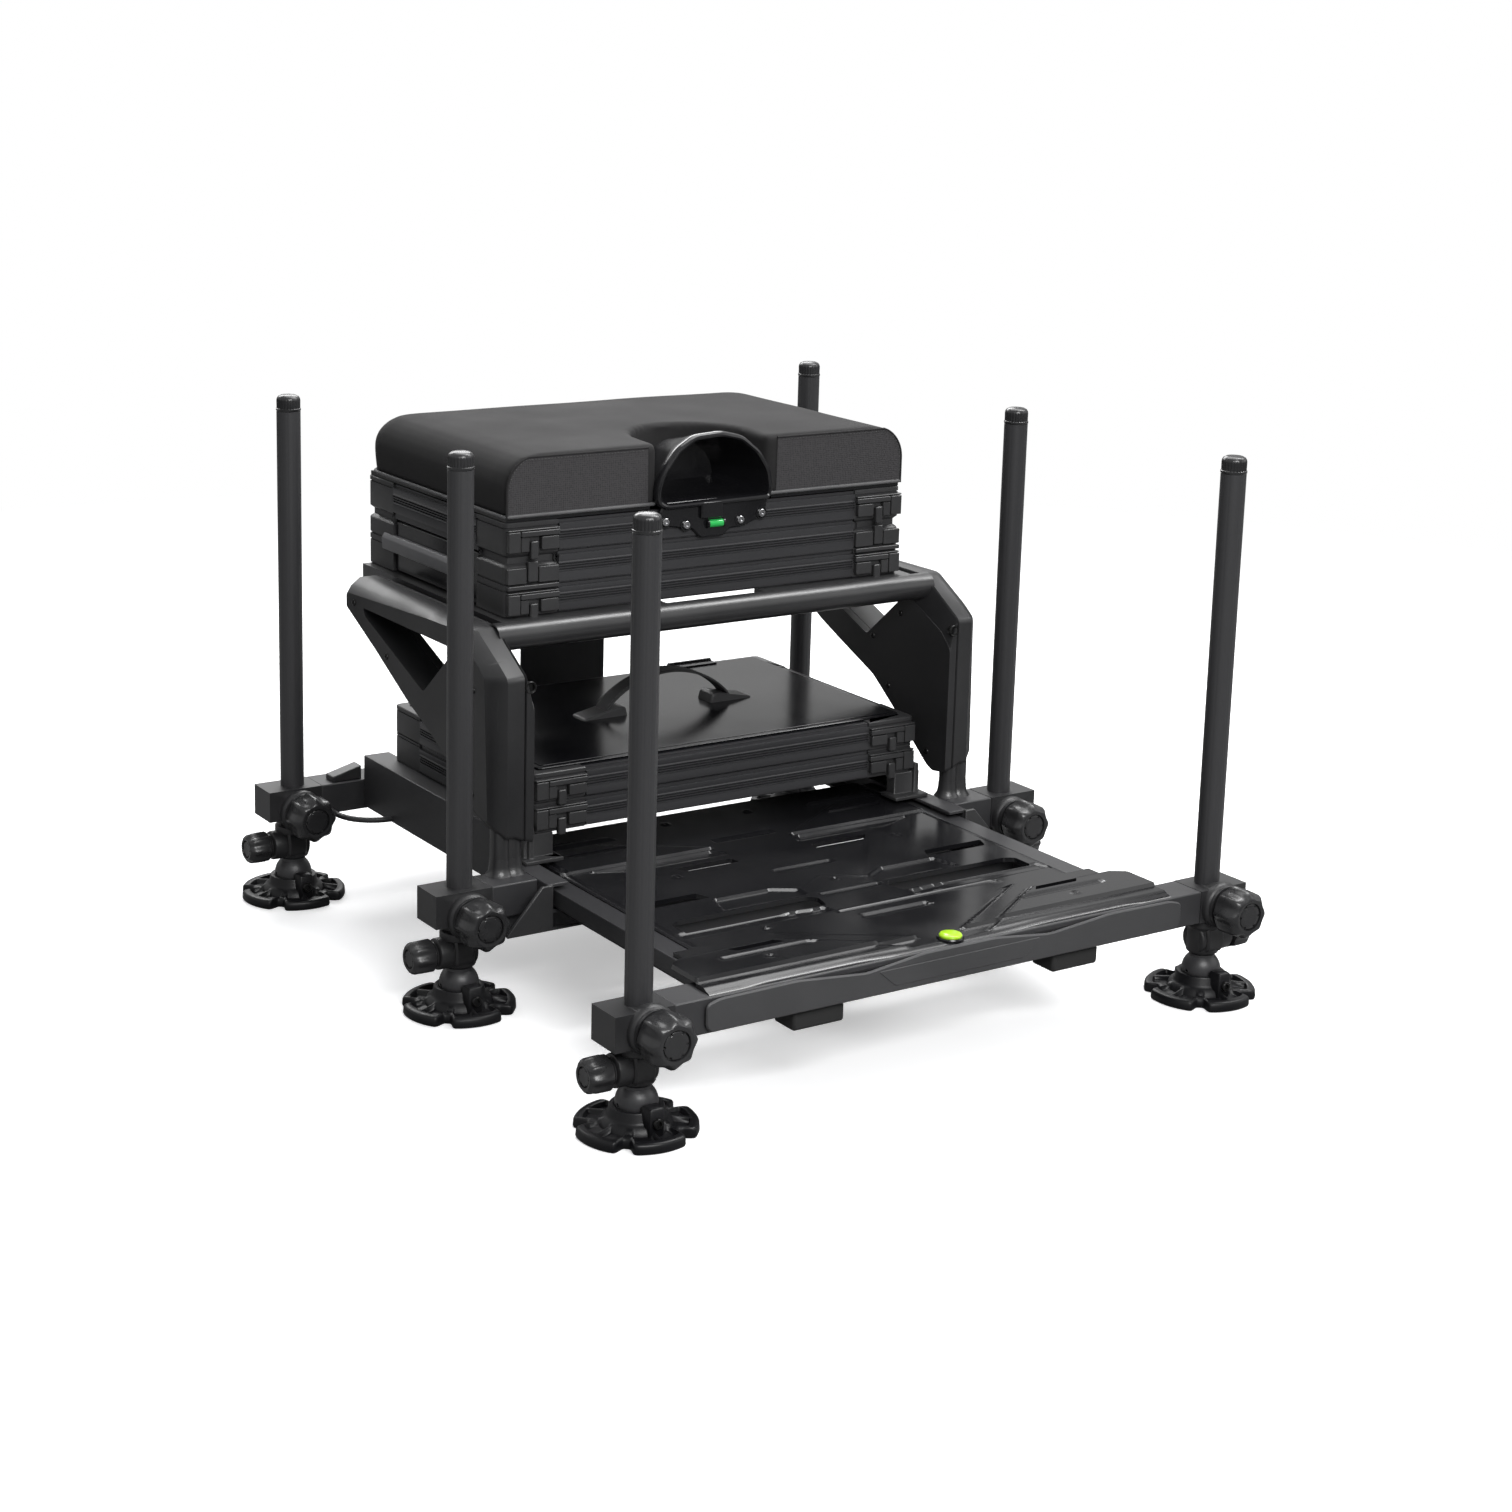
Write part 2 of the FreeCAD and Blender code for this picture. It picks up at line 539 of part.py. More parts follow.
# End brackets under the side rails, runner pads, wedges on the rear beam and corner locators.
small_parts = []
bracket_thick = "4"
for side_name, side in SIDES:
    corners = [("rail_out + 4", "base_arm_top"), ("wall_out + 8", "base_arm_top"), ("wall_out + 46", "82"),
               ("wall_out + 46", "79"), ("216", "79"), ("216", "82"), ("rail_out + 4", "82")]
    corners = [(f"{side} * ({u})", v) for u, v in corners]
    bracket = plate("end_bracket_" + side_name, "XZ_Plane", corners, bracket_thick)
    place(bracket, "0", "channel_front", "0")
    small_parts.append(bracket)
    for where, ys in (("front", ("channel_front + 8", "channel_front + 38")),
                      ("rear", ("rail_rear - 34", "rail_rear - 4"))):
        small_parts.append(side_box(f"runner_{where}_{side_name}", side, ("rail_step + 1", "rail_out - 1"), ys,
                                    ("channel_low + flange", "rail_head_low - free_gap + 0.1")))
        small_parts.append(side_box(f"slider_{where}_{side_name}", side, ("rail_step + 1", "rail_out - 1"), ys,
                                    ("rail_top + free_gap", "base_arm_top - flange")))
    wedge = [("0", "0"), ("17", "0"), ("17", "6"), ("0", "15")]
    wedge = [(f"{side} * (wall_out + 1 + 2 * {u})", f"base_arm_top + {v}") for u, v in wedge]
    block = plate("wedge_" + side_name, "XZ_Plane", wedge, "18")
    place(block, "0", f"{rear_face} + 22", "0")
    small_parts.append(block)
    foot_ys = ("low_front - 12", "low_front + 16")
    locator = fuse("locator_" + side_name, [
        side_box("locator_pad_" + side_name, side, ("channel_lip - 28", "wall_out - 8"), foot_ys,
                 ("base_arm_top", "base_arm_top + 4")),
        side_box("locator_post_" + side_name, side, ("channel_lip - 22", "wall_out - 12"), ("low_front", "low_front + 14"),
                 ("base_arm_top + 4", "low_z")),
        side_box("locator_cheek_" + side_name, side, ("low_half + free_gap", "low_half + 6"),
                 ("low_front - 4", "low_front + 14"), ("base_arm_top + 4", "low_z + 9"))])
    small_parts.append(locator)
node(group("frame_brackets", small_parts), "frame_brackets")


def strap_loop(name, side):
    """A bent rod from the rear beam round to the side rail, for tie-down straps."""
    out = f"{side} * (wall_out + loop_out)"
    straight = "24"
    bend = doc.addObject("Part::Torus", name + "_bend")
    bend.setExpression("Radius1", bound("loop_out"))
    bend.setExpression("Radius2", bound("loop_dia / 2"))
    bend.Angle3 = 90
    if side < 0:
        turn = FreeCAD.Rotation(V(0, 0, 1), 180)
    else:
        turn = FreeCAD.Rotation(V(0, 0, 1), -90)
    bend.Placement = FreeCAD.Placement(V(0, 0, 0), turn)
    place(bend, f"{side} * wall_out", f"{rear_face} - {straight}", "loop_height")
    leg_part = rod(name + "_end", (out, f"{rear_face} - {straight}", "loop_height"), "loop_dia / 2", straight, V(0, 1, 0))
    return fuse(name, [bend, leg_part])


node(group("strap_loops", [strap_loop("strap_loop_" + s, side) for s, side in SIDES]), "strap_loops")


# Seat frame: two-lobed posts, side frames with a diagonal strut, and two cross tubes.
def post(name, side):
    tall = "post_top - base_arm_top"
    lobes = [rod(f"{name}_lobe_{k}", (f"{side} * post_x + {k} * lobe_apart / 2", "post_y", "base_arm_top"),
                 "lobe_dia / 2", tall) for k in (-1, 1)]
    web = box(name + "_web", (f"{side} * post_x - lobe_apart / 2", f"{side} * post_x + lobe_apart / 2"),
              ("post_y - lobe_dia / 4", "post_y + lobe_dia / 4"), ("base_arm_top", "post_top"))
    return fuse(name, lobes + [web])


node(group("seat_posts", [post("seat_post_" + s, side) for s, side in SIDES]), "seat_posts")

post_front = "post_y - lobe_dia / 2"
post_back = "post_y + lobe_dia / 2"
WINDOW = (("122", "278"), ("256", "328"), ("262", "338"), ("50", "338"))
FRAME_OUTLINE = (
    (post_front, "post_top"), (post_back, "post_top"), (post_back, "post_top + 4"),
    ("front_tube_y - 18", "side_bar_low - 20"), ("40", "side_bar_low"), ("268.5", "side_bar_low"),
    ("259", "325.4"), ("121.7", "274"), (post_back, "cover_low + 68"), (post_back, "cover_low + 46"),
    ("116", "cover_low + 92"), ("side_bar_rear", "side_bar_low - 6"),
    ("side_bar_rear", "side_bar_high"), ("front_tube_y + 4", "side_bar_high"), (post_front, "cover_bend - 2"))
seat_sides = []
for side_name, side in SIDES:
    frame_side = plate("seat_side_" + side_name, "YZ_Plane", FRAME_OUTLINE, "side_bar_wide")
    place(frame_side, f"{side} * post_x - side_bar_wide / 2", "0", "0")
    seat_sides.append(frame_side)
node(group("seat_frame_sides", seat_sides), "seat_frame_sides")

# The cross tubes are welded to the side frames, and two bearers on them carry the upper box.
tubes = []
insides = []
half = "post_x - side_bar_wide / 2"
for name, row, height in (("front_tube", "front_tube_y", "tube_height"), ("rear_tube", "rear_tube_y", "rear_tube_height")):
    tubes.append(rod(name + "_out", (f"-({half})", row, height), "tube_dia / 2", f"2 * ({half})", V(1, 0, 0)))
    insides.append(rod(name + "_in", (f"-({half}) - 1", row, height), "tube_dia / 2 - 2", f"2 * ({half}) + 2", V(1, 0, 0)))
for side_name, side in SIDES:
    tubes.append(side_box("bearer_" + side_name, side, ("bearer_x - bearer_wide / 2", "bearer_x + bearer_wide / 2"),
                          ("front_tube_y + 8", "bearer_rear"), ("bearer_low", "top_low - 0.3")))
    tubes.append(side_box("pad_" + side_name, side, ("pad_in", "bearer_x"),
                          ("front_tube_y + 8", "front_tube_y + 8 + pad_deep"), ("top_low - 0.3 - pad_tall", "top_low - 0.3")))
node(cut("seat_cross_tubes", fuse("cross_tubes_solid", tubes), insides), "seat_cross_tubes")

# Side covers: an outer and an inner shell on each side, hollow round the seat frame.
COVER_TOP = (("cover_rear", "331"), ("cover_rear", "cover_top"), ("cover_shoulder", "cover_top"), ("cover_front", "cover_bend"))
INNER_OUTLINE = (("cover_front", "cover_low_front"), ("-16", "cover_low"), ("-4", "cover_low"), ("116", "241")) + COVER_TOP
OUTER_OUTLINE = (("cover_front", "cover_low_out + 3"), ("-14", "cover_low_out"), ("-2", "cover_low_out"), ("16", "184"),
                 ("72", "221"), ("116", "241")) + COVER_TOP


def shell(name, side, inner):
    """One shell of a side cover: a bevelled plate, hollowed from its seam."""
    low_x = "cover_in" if inner else "cover_split + free_gap / 2"
    high_x = "cover_split - free_gap / 2" if inner else "cover_out"
    outline = INNER_OUTLINE if inner else OUTER_OUTLINE
    body = plate(name + "_body", "YZ_Plane", outline, f"{high_x} - ({low_x})", False, (WINDOW,))
    doc.recompute()
    place(body, low_x if side > 0 else f"-({high_x})", "0", "0")
    doc.recompute()
    solid = body.Tip
    seam_x = solid.Shape.BoundBox.XMax if inner == (side > 0) else solid.Shape.BoundBox.XMin
    face_x = solid.Shape.BoundBox.XMin if inner == (side > 0) else solid.Shape.BoundBox.XMax
    front, bend, shoulder = size("cover_front"), size("cover_bend"), size("cover_shoulder")
    edges = []
    for number, edge in enumerate(solid.Shape.Edges, 1):
        middle = edge.CenterOfMass
        on_front = abs(middle.y - front) < 0.01 or middle.z > size("cover_top") - 0.01
        on_slope = abs(middle.y - (front + shoulder) / 2) < 0.01 and middle.z > bend
        if abs(middle.x - face_x) < 0.01 and (on_front or on_slope):
            edges.append(f"Edge{number}")
    bevel = body.newObject("PartDesign::Chamfer", name + "_bevel")
    bevel.Base = (solid, edges)
    bevel.setExpression("Size", bound("cover_bevel_in" if inner else "cover_bevel"))
    doc.recompute()
    opened = [f"Face{number}" for number, face in enumerate(bevel.Shape.Faces, 1)
              if abs(face.CenterOfMass.x - seam_x) < 0.01 and face.BoundBox.XLength < 0.01]
    hollow = body.newObject("PartDesign::Thickness", name + "_hollow")
    hollow.Base = (bevel, opened)
    hollow.setExpression("Value", bound("cover_wall"))
    hollow.Reversed = True
    hollow.Join = 0
    doc.recompute()
    tools = [box(name + "_post_slot", (f"{side} * post_x - lobe_apart / 2 - lobe_dia / 2 - 1",
                                       f"{side} * post_x + lobe_apart / 2 + lobe_dia / 2 + 1"),
                 ("post_y - lobe_dia / 2 - 1", "post_y + lobe_dia / 2 + 1"), ("cover_low - 20", "cover_low + 34"))]
    for row, height in (("front_tube_y", "tube_height"), ("rear_tube_y", "rear_tube_height")):
        tools.append(rod(name + "_" + row, (f"{side} * 200", row, height), "tube_dia / 2 + free_gap",
                         "post_x - side_bar_wide / 2 + free_gap - 200", V(side, 0, 0)))
    return cut(name, body, tools)


for side_name, side in SIDES:
    node(group("side_cover_" + side_name, [shell(f"cover_inner_{side_name}", side, True),
                                           shell(f"cover_outer_{side_name}", side, False)]),
         "side_cover_" + side_name)

# Rear plate: stands on the rear beam and folds forward under the rear cross tube.
plate_y = "rear_leg_y - 4"
node(fuse("back_plate", [
    box("back_sheet", ("-back_half", "back_half"), (plate_y, f"{plate_y} + back_thick"),
        ("base_arm_top", "rear_tube_height - tube_dia / 2")),
    box("back_fold", ("-back_half", "back_half"), ("rear_tube_y - 10", plate_y),
        ("rear_tube_height - tube_dia / 2 - back_thick", "rear_tube_height - tube_dia / 2"))]), "back_plate")

# Footplate: a front bar, two runner rails with a cross member, the moulded deck and its fittings.
bar_ys = ("front_leg_y - arm_deep / 2", "front_leg_y + arm_deep / 2")
node(hollow_bar("footplate_bar", ("-block_in", "block_in"), bar_ys, ("bar_top - arm_tall", "bar_top")), "footplate_bar")

rails = []
rail_front = bar_ys[1]
for side_name, side in SIDES:
    corners = [("rail_in", "rail_low"), ("rail_stem", "rail_low"), ("rail_stem", "rail_head_low"),
               ("rail_out", "rail_head_low"), ("rail_out", "rail_top"), ("rail_in", "rail_top"),
               ("rail_in", "deck_low - free_gap"), ("rail_in - ledge_wide", "deck_low - free_gap"),
               ("rail_in - ledge_wide", "deck_low - free_gap - ledge_thick"),
               ("rail_in", "deck_low - free_gap - ledge_thick")]
    corners = [(f"{side} * ({u})", v) for u, v in corners]
    rail = plate("footplate_rail_" + side_name, "XZ_Plane", corners, f"rail_rear - ({rail_front})")
    place(rail, "0", "rail_rear", "0")
    rails.append(rail)
rails.append(hollow_bar("footplate_cross", ("-rail_in", "rail_in"), ("front_leg_y + 170", "front_leg_y + 195"),
                        ("rail_low", "deck_low - free_gap - ledge_thick - 1")))
node(group("footplate_rails", rails), "footplate_rails")

deck_top = "deck_low + deck_thick"
lip_front = f"{bar_ys[0]} - lip_thick - free_gap"
deck_body = fuse("deck_body", [
    box("deck_plate", ("-rail_in + free_gap", "rail_in - free_gap"), (f"{rail_front} + free_gap", "deck_rear"), ("deck_low", deck_top)),
    box("deck_lip", ("-lip_half", "lip_half"), (lip_front, f"{rail_front} - 1"),
        ("bar_top + free_gap", "bar_top + lip_tall")),
    box("deck_joint", ("-rail_in + free_gap", "rail_in - free_gap"), (f"{rail_front} - 1.5", f"{rail_front} + 12"),
        ("bar_top + free_gap", "bar_top + lip_tall")),
    box("deck_wings", ("-lip_half + 3", "lip_half - 3"), (f"{rail_front} - 1.5", "front_leg_y + lip_wing"),
        ("rail_top + free_gap", "bar_top + lip_tall")),
    box("deck_shoulder", ("-rail_out + 2", "rail_out - 2"), ("front_leg_y + lip_wing - 1", "front_leg_y + lip_rear"),
        ("rail_top + free_gap", "bar_top + lip_tall")),
    box("fascia", ("-lip_half", "lip_half"), (lip_front, f"{lip_front} + lip_thick"), ("fascia_low", "bar_top + lip_tall"))])
slots = []
SLOT_ROWS = (("75", "10", "124", "196"), ("151", "15", "50", "118"), ("230", "16", "130", "206"), ("287", "34", "42", "208"),
             ("383", "13", "152", "212"))
for i, (back, wide, near, far) in enumerate(SLOT_ROWS):
    for side_name, side in SIDES:
        slots.append(side_box(f"slot_{i}_{side_name}", side, (near, far),
                              (f"deck_rear - {back} - {wide}", f"deck_rear - {back}"), ("deck_low - 1", f"{deck_top} + 1")))
node(cut("footplate_deck", deck_body, slots), "footplate_deck")

level_y = "front_leg_y - 6"
node(cone("footplate_level", ("0", level_y, "bar_top + lip_tall"), "level_dia / 2", "level_dia / 2 - 1.5", "level_tall"),
     "footplate_level")
rubbers = []
for side_name, side in SIDES:
    rubbers.append(side_box("rubber_" + side_name, side, ("rubber_x - rubber_wide / 2", "rubber_x + rubber_wide / 2"),
                            ("front_leg_y - rubber_deep / 2", "front_leg_y + rubber_deep / 2"),
                            ("bar_top - arm_tall - rubber_tall", "bar_top - arm_tall")))
node(group("rubber_feet", rubbers), "rubber_feet")


# Tray stacks: moulded corner blocks, extruded wall panels and floors.
def corners_of(name, half, front, rear, low, high):
    """Four L-shaped corner blocks of one unit."""
    blocks = []
    for side_name, side in SIDES:
        for end, y0, y1, inner in (("front", front, f"{front} + corner_wide", f"{front} + corner_thick"),
                                   ("rear", f"{rear} - corner_wide", rear, None)):
            whole = side_box(f"{name}_{end}_{side_name}", side, (f"{half} - corner_wide", half), (y0, y1), (low, high))
            if inner:
                ys = (inner, f"{y1} + 1")
            else:
                ys = (f"{y0} - 1", f"{rear} - corner_thick")
            hollow = side_box(f"{name}_{end}_{side_name}_in", side,
                              (f"{half} - corner_wide - 1", f"{half} - corner_thick"), ys, (f"{low} - 1", f"{high} + 1"))
            blocks.append(cut(f"{name}_{end}_{side_name}_block", whole, [hollow]))
    return blocks


def walls_of(name, half, front, rear, low, high, left_open=False):
    """Front, rear and side panels between the corner blocks, and a floor inside them."""
    xs = (f"-({half}) + corner_wide", f"{half} - corner_wide")
    zs = (f"{low} + 1", f"{high} - 1")
    panels = [box(name + "_front", xs, (f"{front} + panel_inset", f"{front} + panel_inset + panel_thick"), zs),
              box(name + "_rear", xs, (f"{rear} - panel_inset - panel_thick", f"{rear} - panel_inset"), zs)]
    for side_name, side in SIDES:
        if left_open and side < 0:
            continue
        panels.append(side_box(f"{name}_{side_name}", side, (f"{half} - panel_inset - panel_thick", f"{half} - panel_inset"),
                               (f"{front} + corner_wide", f"{rear} - corner_wide"), zs))
    floor_zs = (f"{low} + 1", f"{low} + 1 + floor_thick")
    skin = "panel_inset + panel_thick"
    panels.append(fuse(name + "_floor", [
        box(name + "_floor_mid", (f"-({half}) + corner_thick", f"{half} - corner_thick"),
            (f"{front} + corner_thick", f"{rear} - corner_thick"), floor_zs),
        box(name + "_floor_long", xs, (f"{front} + {skin}", f"{rear} - ({skin})"), floor_zs),
        box(name + "_floor_wide", (f"-({half}) + {skin}", f"{half} - ({skin})"),
            (f"{front} + corner_wide", f"{rear} - corner_wide"), floor_zs)]))
    return panels


low_mid = "(low_z + low_top) / 2"
LOW = ("low_half", "low_front", "low_rear")
TOP = ("top_half", "top_front", "top_rear")
node(group("lower_box_corners", corners_of("low_corner_a", *LOW, "low_z", low_mid)
           + corners_of("low_corner_b", *LOW, low_mid, "low_top")), "lower_box_corners")
node(group("upper_box_corners", corners_of("deep_corner", *TOP, "top_low", "tray_line")
           + corners_of("seat_corner", *TOP, "tray_line", "top_high")), "upper_box_corners")

low_walls = walls_of("low_wall_a", *LOW, "low_z", low_mid) + walls_of("low_wall_b", *LOW, low_mid, "low_top")
low_pin_y = "low_rear - panel_inset - panel_thick / 2"
low_pin_z = "low_top - 1 + hinge_dia / 2 + free_gap"
top_walls = walls_of("deep_wall", *TOP, "top_low", "tray_line", True) + walls_of("seat_wall", *TOP, "tray_line", "top_high")
top_pin_y = "top_rear - panel_inset + hinge_dia / 2 + free_gap"
top_pin_z = "top_high - 1"


def hinge_ears(name, y, z, root_ys, root_zs):
    """Two ears with a pin each, fixed to a wall, for a lid's barrels to turn on."""
    ears = []
    for side_name, side in SIDES:
        near = "barrel_x - barrel_long / 2 - 6"
        far = "barrel_x - barrel_long / 2 - free_gap"
        ear = side_box(f"{name}_ear_{side_name}", side, (near, far), root_ys, root_zs)
        knuckle = rod(f"{name}_knuckle_{side_name}", (f"{side} * ({near})", y, z), "hinge_dia / 2", f"{far} - ({near})", V(side, 0, 0))
        pin = rod(f"{name}_pin_{side_name}", (f"{side} * ({near})", y, z), "pin_dia / 2", "barrel_long + 6", V(side, 0, 0))
        ears.append(fuse(f"{name}_{side_name}", [ear, knuckle, pin]))
    return ears


def hinge_barrels(name, y, z, root_ys, root_zs):
    """A lid's two hinge barrels with their leaves, bored for the pins."""
    barrels = []
    for side_name, side in SIDES:
        xs = ("barrel_x - barrel_long / 2", "barrel_x + barrel_long / 2")
        leaf = side_box(f"{name}_leaf_{side_name}", side, xs, root_ys, root_zs)
        barrel = rod(f"{name}_barrel_{side_name}", (f"{side} * ({xs[0]})", y, z), "hinge_dia / 2", "barrel_long", V(side, 0, 0))
        bore = rod(f"{name}_bore_{side_name}", (f"{side} * ({xs[0]}) - {side} * 1", y, z), "pin_dia / 2 + run_gap", "barrel_long + 2", V(side, 0, 0))
        barrels.append(cut(f"{name}_{side_name}", fuse(f"{name}_solid_{side_name}", [leaf, barrel]), [bore]))
    return barrels


low_walls += hinge_ears("lid_hinge", low_pin_y, low_pin_z,
                        (f"{low_pin_y} - hinge_dia / 2", f"{low_pin_y} + hinge_dia / 2"), ("low_top - 1", low_pin_z))
top_walls += hinge_ears("seat_hinge", top_pin_y, top_pin_z,
                        ("top_rear - panel_inset", top_pin_y), (f"{top_pin_z} - 8", "top_high"))
node(group("lower_box_walls", low_walls), "lower_box_walls")
node(group("upper_box_walls", top_walls), "upper_box_walls")

# Lower box lid with its carry handle.
rim = "panel_inset + panel_thick + free_gap"
lid_low = "low_top - lid_thick"
lid_plate = box("lid_plate", (f"-low_half + corner_thick + free_gap", f"low_half - corner_thick - free_gap"),
                ("low_front + corner_thick + free_gap", "low_rear - corner_thick - free_gap"), (lid_low, "low_top"))
lid_barrels = hinge_barrels("lid", low_pin_y, low_pin_z,
                            ("low_rear - corner_thick - 8", low_pin_y), ("low_top - 0.5", f"{low_pin_z} + 1"))
lid_middle = box("lid_middle", ("-low_half + corner_wide + free_gap", "low_half - corner_wide - free_gap"),
                 (f"low_front + {rim}", "low_rear - corner_thick - free_gap"), (lid_low, "low_top"))
lid_across = box("lid_across", (f"-low_half + {rim}", f"low_half - ({rim})"),
                 ("low_front + corner_wide + free_gap", "low_rear - corner_wide - free_gap"), (lid_low, "low_top"))
node(fuse("lower_box_lid", [lid_plate, lid_middle, lid_across] + lid_barrels), "lower_box_lid")

arc_radius = "((handle_span / 2) ^ 2 + handle_rise ^ 2) / (2 * handle_rise)"
arc_base = "low_top + end_tall"
arc_height = f"({arc_base} + handle_rise - ({arc_radius}))"
handle_ys = ("handle_y - strap_wide / 2", "handle_y + strap_wide / 2")
band = cut("strap_ring", rod("strap_out", ("handle_x", handle_ys[0], arc_height), arc_radius, "strap_wide", V(0, 1, 0)),
           [rod("strap_in", ("handle_x", f"{handle_ys[0]} - 1", arc_height), f"{arc_radius} - strap_thick", "strap_wide + 2", V(0, 1, 0))])
window = box("strap_window", ("handle_x - handle_span / 2 - 10", "handle_x + handle_span / 2 + 10"),
             (f"{handle_ys[0]} - 2", f"{handle_ys[1]} + 2"), (arc_base, f"{arc_base} + handle_rise + 5"))
strap = doc.addObject("Part::Common", "handle_strap")
strap.Base = band
strap.Tool = window
ends = []
for k in (-1, 1):
    middle = f"handle_x + {k} * (handle_span / 2)"
    ends.append(box(f"handle_end_{'left' if k < 0 else 'right'}", (f"{middle} - end_long / 2", f"{middle} + end_long / 2"),
                    (f"{handle_ys[0]} - 2", f"{handle_ys[1]} + 2"), ("low_top", arc_base)))
node(group("carry_handle", [strap] + ends), "carry_handle")

# Side drawer: slides out to the left from the deep unit of the upper box.
drawer_low = "top_low + 1 + floor_thick + free_gap"
drawer_top = "tray_line - drawer_gap"
face_x = "-top_half + panel_inset + 4"
tub = box("drawer_tub", (face_x, f"{face_x} + drawer_long"), ("drawer_front + drawer_gap", "drawer_rear - drawer_gap"), (drawer_low, drawer_top))
well = box("drawer_well", (f"{face_x} + drawer_wall", f"{face_x} + drawer_long - drawer_wall"),
           ("drawer_front + drawer_gap + drawer_wall", "drawer_rear - drawer_gap - drawer_wall"),
           (f"{drawer_low} + drawer_wall", f"{drawer_top} + 1"))
pull_z = f"({drawer_low} + ({drawer_top})) / 2"
pull = box("drawer_pull", (f"{face_x} - pull_deep", face_x), ("drawer_front + 20", "drawer_rear - 20"),
           (f"{pull_z} - pull_tall / 2", f"{pull_z} + pull_tall / 2"))
node(group("side_drawer", [cut("drawer_box", tub, [well]), pull]), "side_drawer")

# Seat: a board hinged at the rear of the seat tray, with the cushion on it.
board_low = "top_high + free_gap"
board_high = "top_high + free_gap + board_thick"
board_plate = box("board_plate", ("-top_half + 2", "top_half - 2"), ("top_front + 2", "top_rear - 3"), (board_low, board_high))
board_notch = fuse("board_notch", [
    rod("board_notch_round", ("0", "scoop_y", "top_high - 1"), "scoop_dia / 2", "board_thick + 4"),
    box("board_notch_straight", ("-scoop_dia / 2", "scoop_dia / 2"), ("0", "scoop_y"), ("top_high - 1", "top_high + board_thick + 3"))])
board_barrels = hinge_barrels("seat", top_pin_y, top_pin_z, ("top_rear - 8", f"{top_pin_y} + 2"), (board_low, board_high))
risen = []
for side_name, side in SIDES:
    xs = ("barrel_x - barrel_long / 2", "barrel_x + barrel_long / 2")
    riser = side_box(f"seat_riser_{side_name}", side, xs, (f"{top_pin_y} + pin_dia / 2 + 0.6", f"{top_pin_y} + hinge_dia / 2"),
                     (top_pin_z, board_high))
    risen.append(riser)
node(fuse("seat_board", [cut("board_cut", board_plate, [board_notch])] + board_barrels + risen), "seat_board")


def rounded(half_x, half_y, radius, middle_y, z):
    """A rectangle with round corners, as a closed wire of lines and quarter arcs."""
    def corner(cx, cy, a):
        """Quarter arc round one corner, from angle a."""
        around = Part.Circle(V(cx, cy, z), V(0, 0, 1), radius)
        return Part.Arc(around, FreeCAD.Units.Quantity(a, "deg").getValueAs("rad").Value,
                        FreeCAD.Units.Quantity(a + 90, "deg").getValueAs("rad").Value).toShape()
    ax, ay = half_x - radius, half_y - radius
    centres = ((ax, middle_y + ay, 0), (-ax, middle_y + ay, 90), (-ax, middle_y - ay, 180), (ax, middle_y - ay, 270))
    arcs = [corner(*c) for c in centres]
    edges = []
    for i, arc in enumerate(arcs):
        following = arcs[(i + 1) % 4]
        edges.append(arc)
        edges.append(Part.LineSegment(arc.Vertexes[1].Point, following.Vertexes[0].Point).toShape())
    return Part.Wire(edges)


def cushion_shape():
    """Sections that draw in towards the foot and crown towards the middle, with the front scoop cut out."""
    half = size("top_half") + 2
    deep = (size("top_rear") - size("top_front")) / 2 + 1
    middle = (size("top_rear") + size("top_front")) / 2
    low = size("top_high") + size("free_gap") + size("board_thick")
    tall = size("seat_top") - low
    corner = size("seat_round")
    sections = []
    shape = ((0.0, 1.5, 1.0), (0.2, 0.0, 0.0), (0.42, 1.0, 0.5), (0.58, 4.0, 1.0), (0.72, 9.0, 1.5),
             (0.84, 16.0, 2.5), (0.93, 25.0, 4.0), (0.98, 36.0, 7.0), (1.0, 60.0, 14.0))
    for share, side_inset, front_inset in shape:
        sections.append(rounded(half - side_inset, deep - front_inset, corner, middle, low + share * tall))
    body = Part.makeLoft(sections, True, True)
    reach = size("scoop_dia") / 2
    scoop = Part.makeCylinder(reach, tall + 4, V(0, size("scoop_y"), low - 2))
    straight = Part.makeBox(2 * reach, size("scoop_y"), tall + 4, V(-reach, 0, low - 2))
    return body.cut(scoop.fuse(straight))


cushion = doc.addObject("Part::Feature", "seat_cushion")
cushion.Shape = cushion_shape()
cushion.Placement = FreeCAD.Placement(V(0, 0, 0), FreeCAD.Rotation())
node(cushion, "seat_cushion")


def hood_ring(half, low, high, y, grow):
    """A mouth outline in the XZ plane: flat foot, round shoulders and a flatter top."""
    half, low, high = half + grow, low - grow, high + grow
    tall = high - low
    points = [V(-half * 0.82, y, low), V(half * 0.82, y, low), V(half, y, low + tall * 0.3),
              V(half * 0.62, y, high - tall * 0.06), V(-half * 0.62, y, high - tall * 0.06), V(-half, y, low + tall * 0.3)]
    edges = [Part.LineSegment(points[0], points[1]).toShape(),
             Part.Arc(points[1], V(half * 0.97, y, low + tall * 0.12), points[2]).toShape(),
             Part.Arc(points[2], V(half * 0.9, y, low + tall * 0.68), points[3]).toShape(),
             Part.Arc(points[3], V(0, y, high), points[4]).toShape(),
             Part.Arc(points[4], V(-half * 0.9, y, low + tall * 0.68), points[5]).toShape(),
             Part.Arc(points[5], V(-half * 0.97, y, low + tall * 0.12), points[0]).toShape()]
    return Part.Wire(edges)


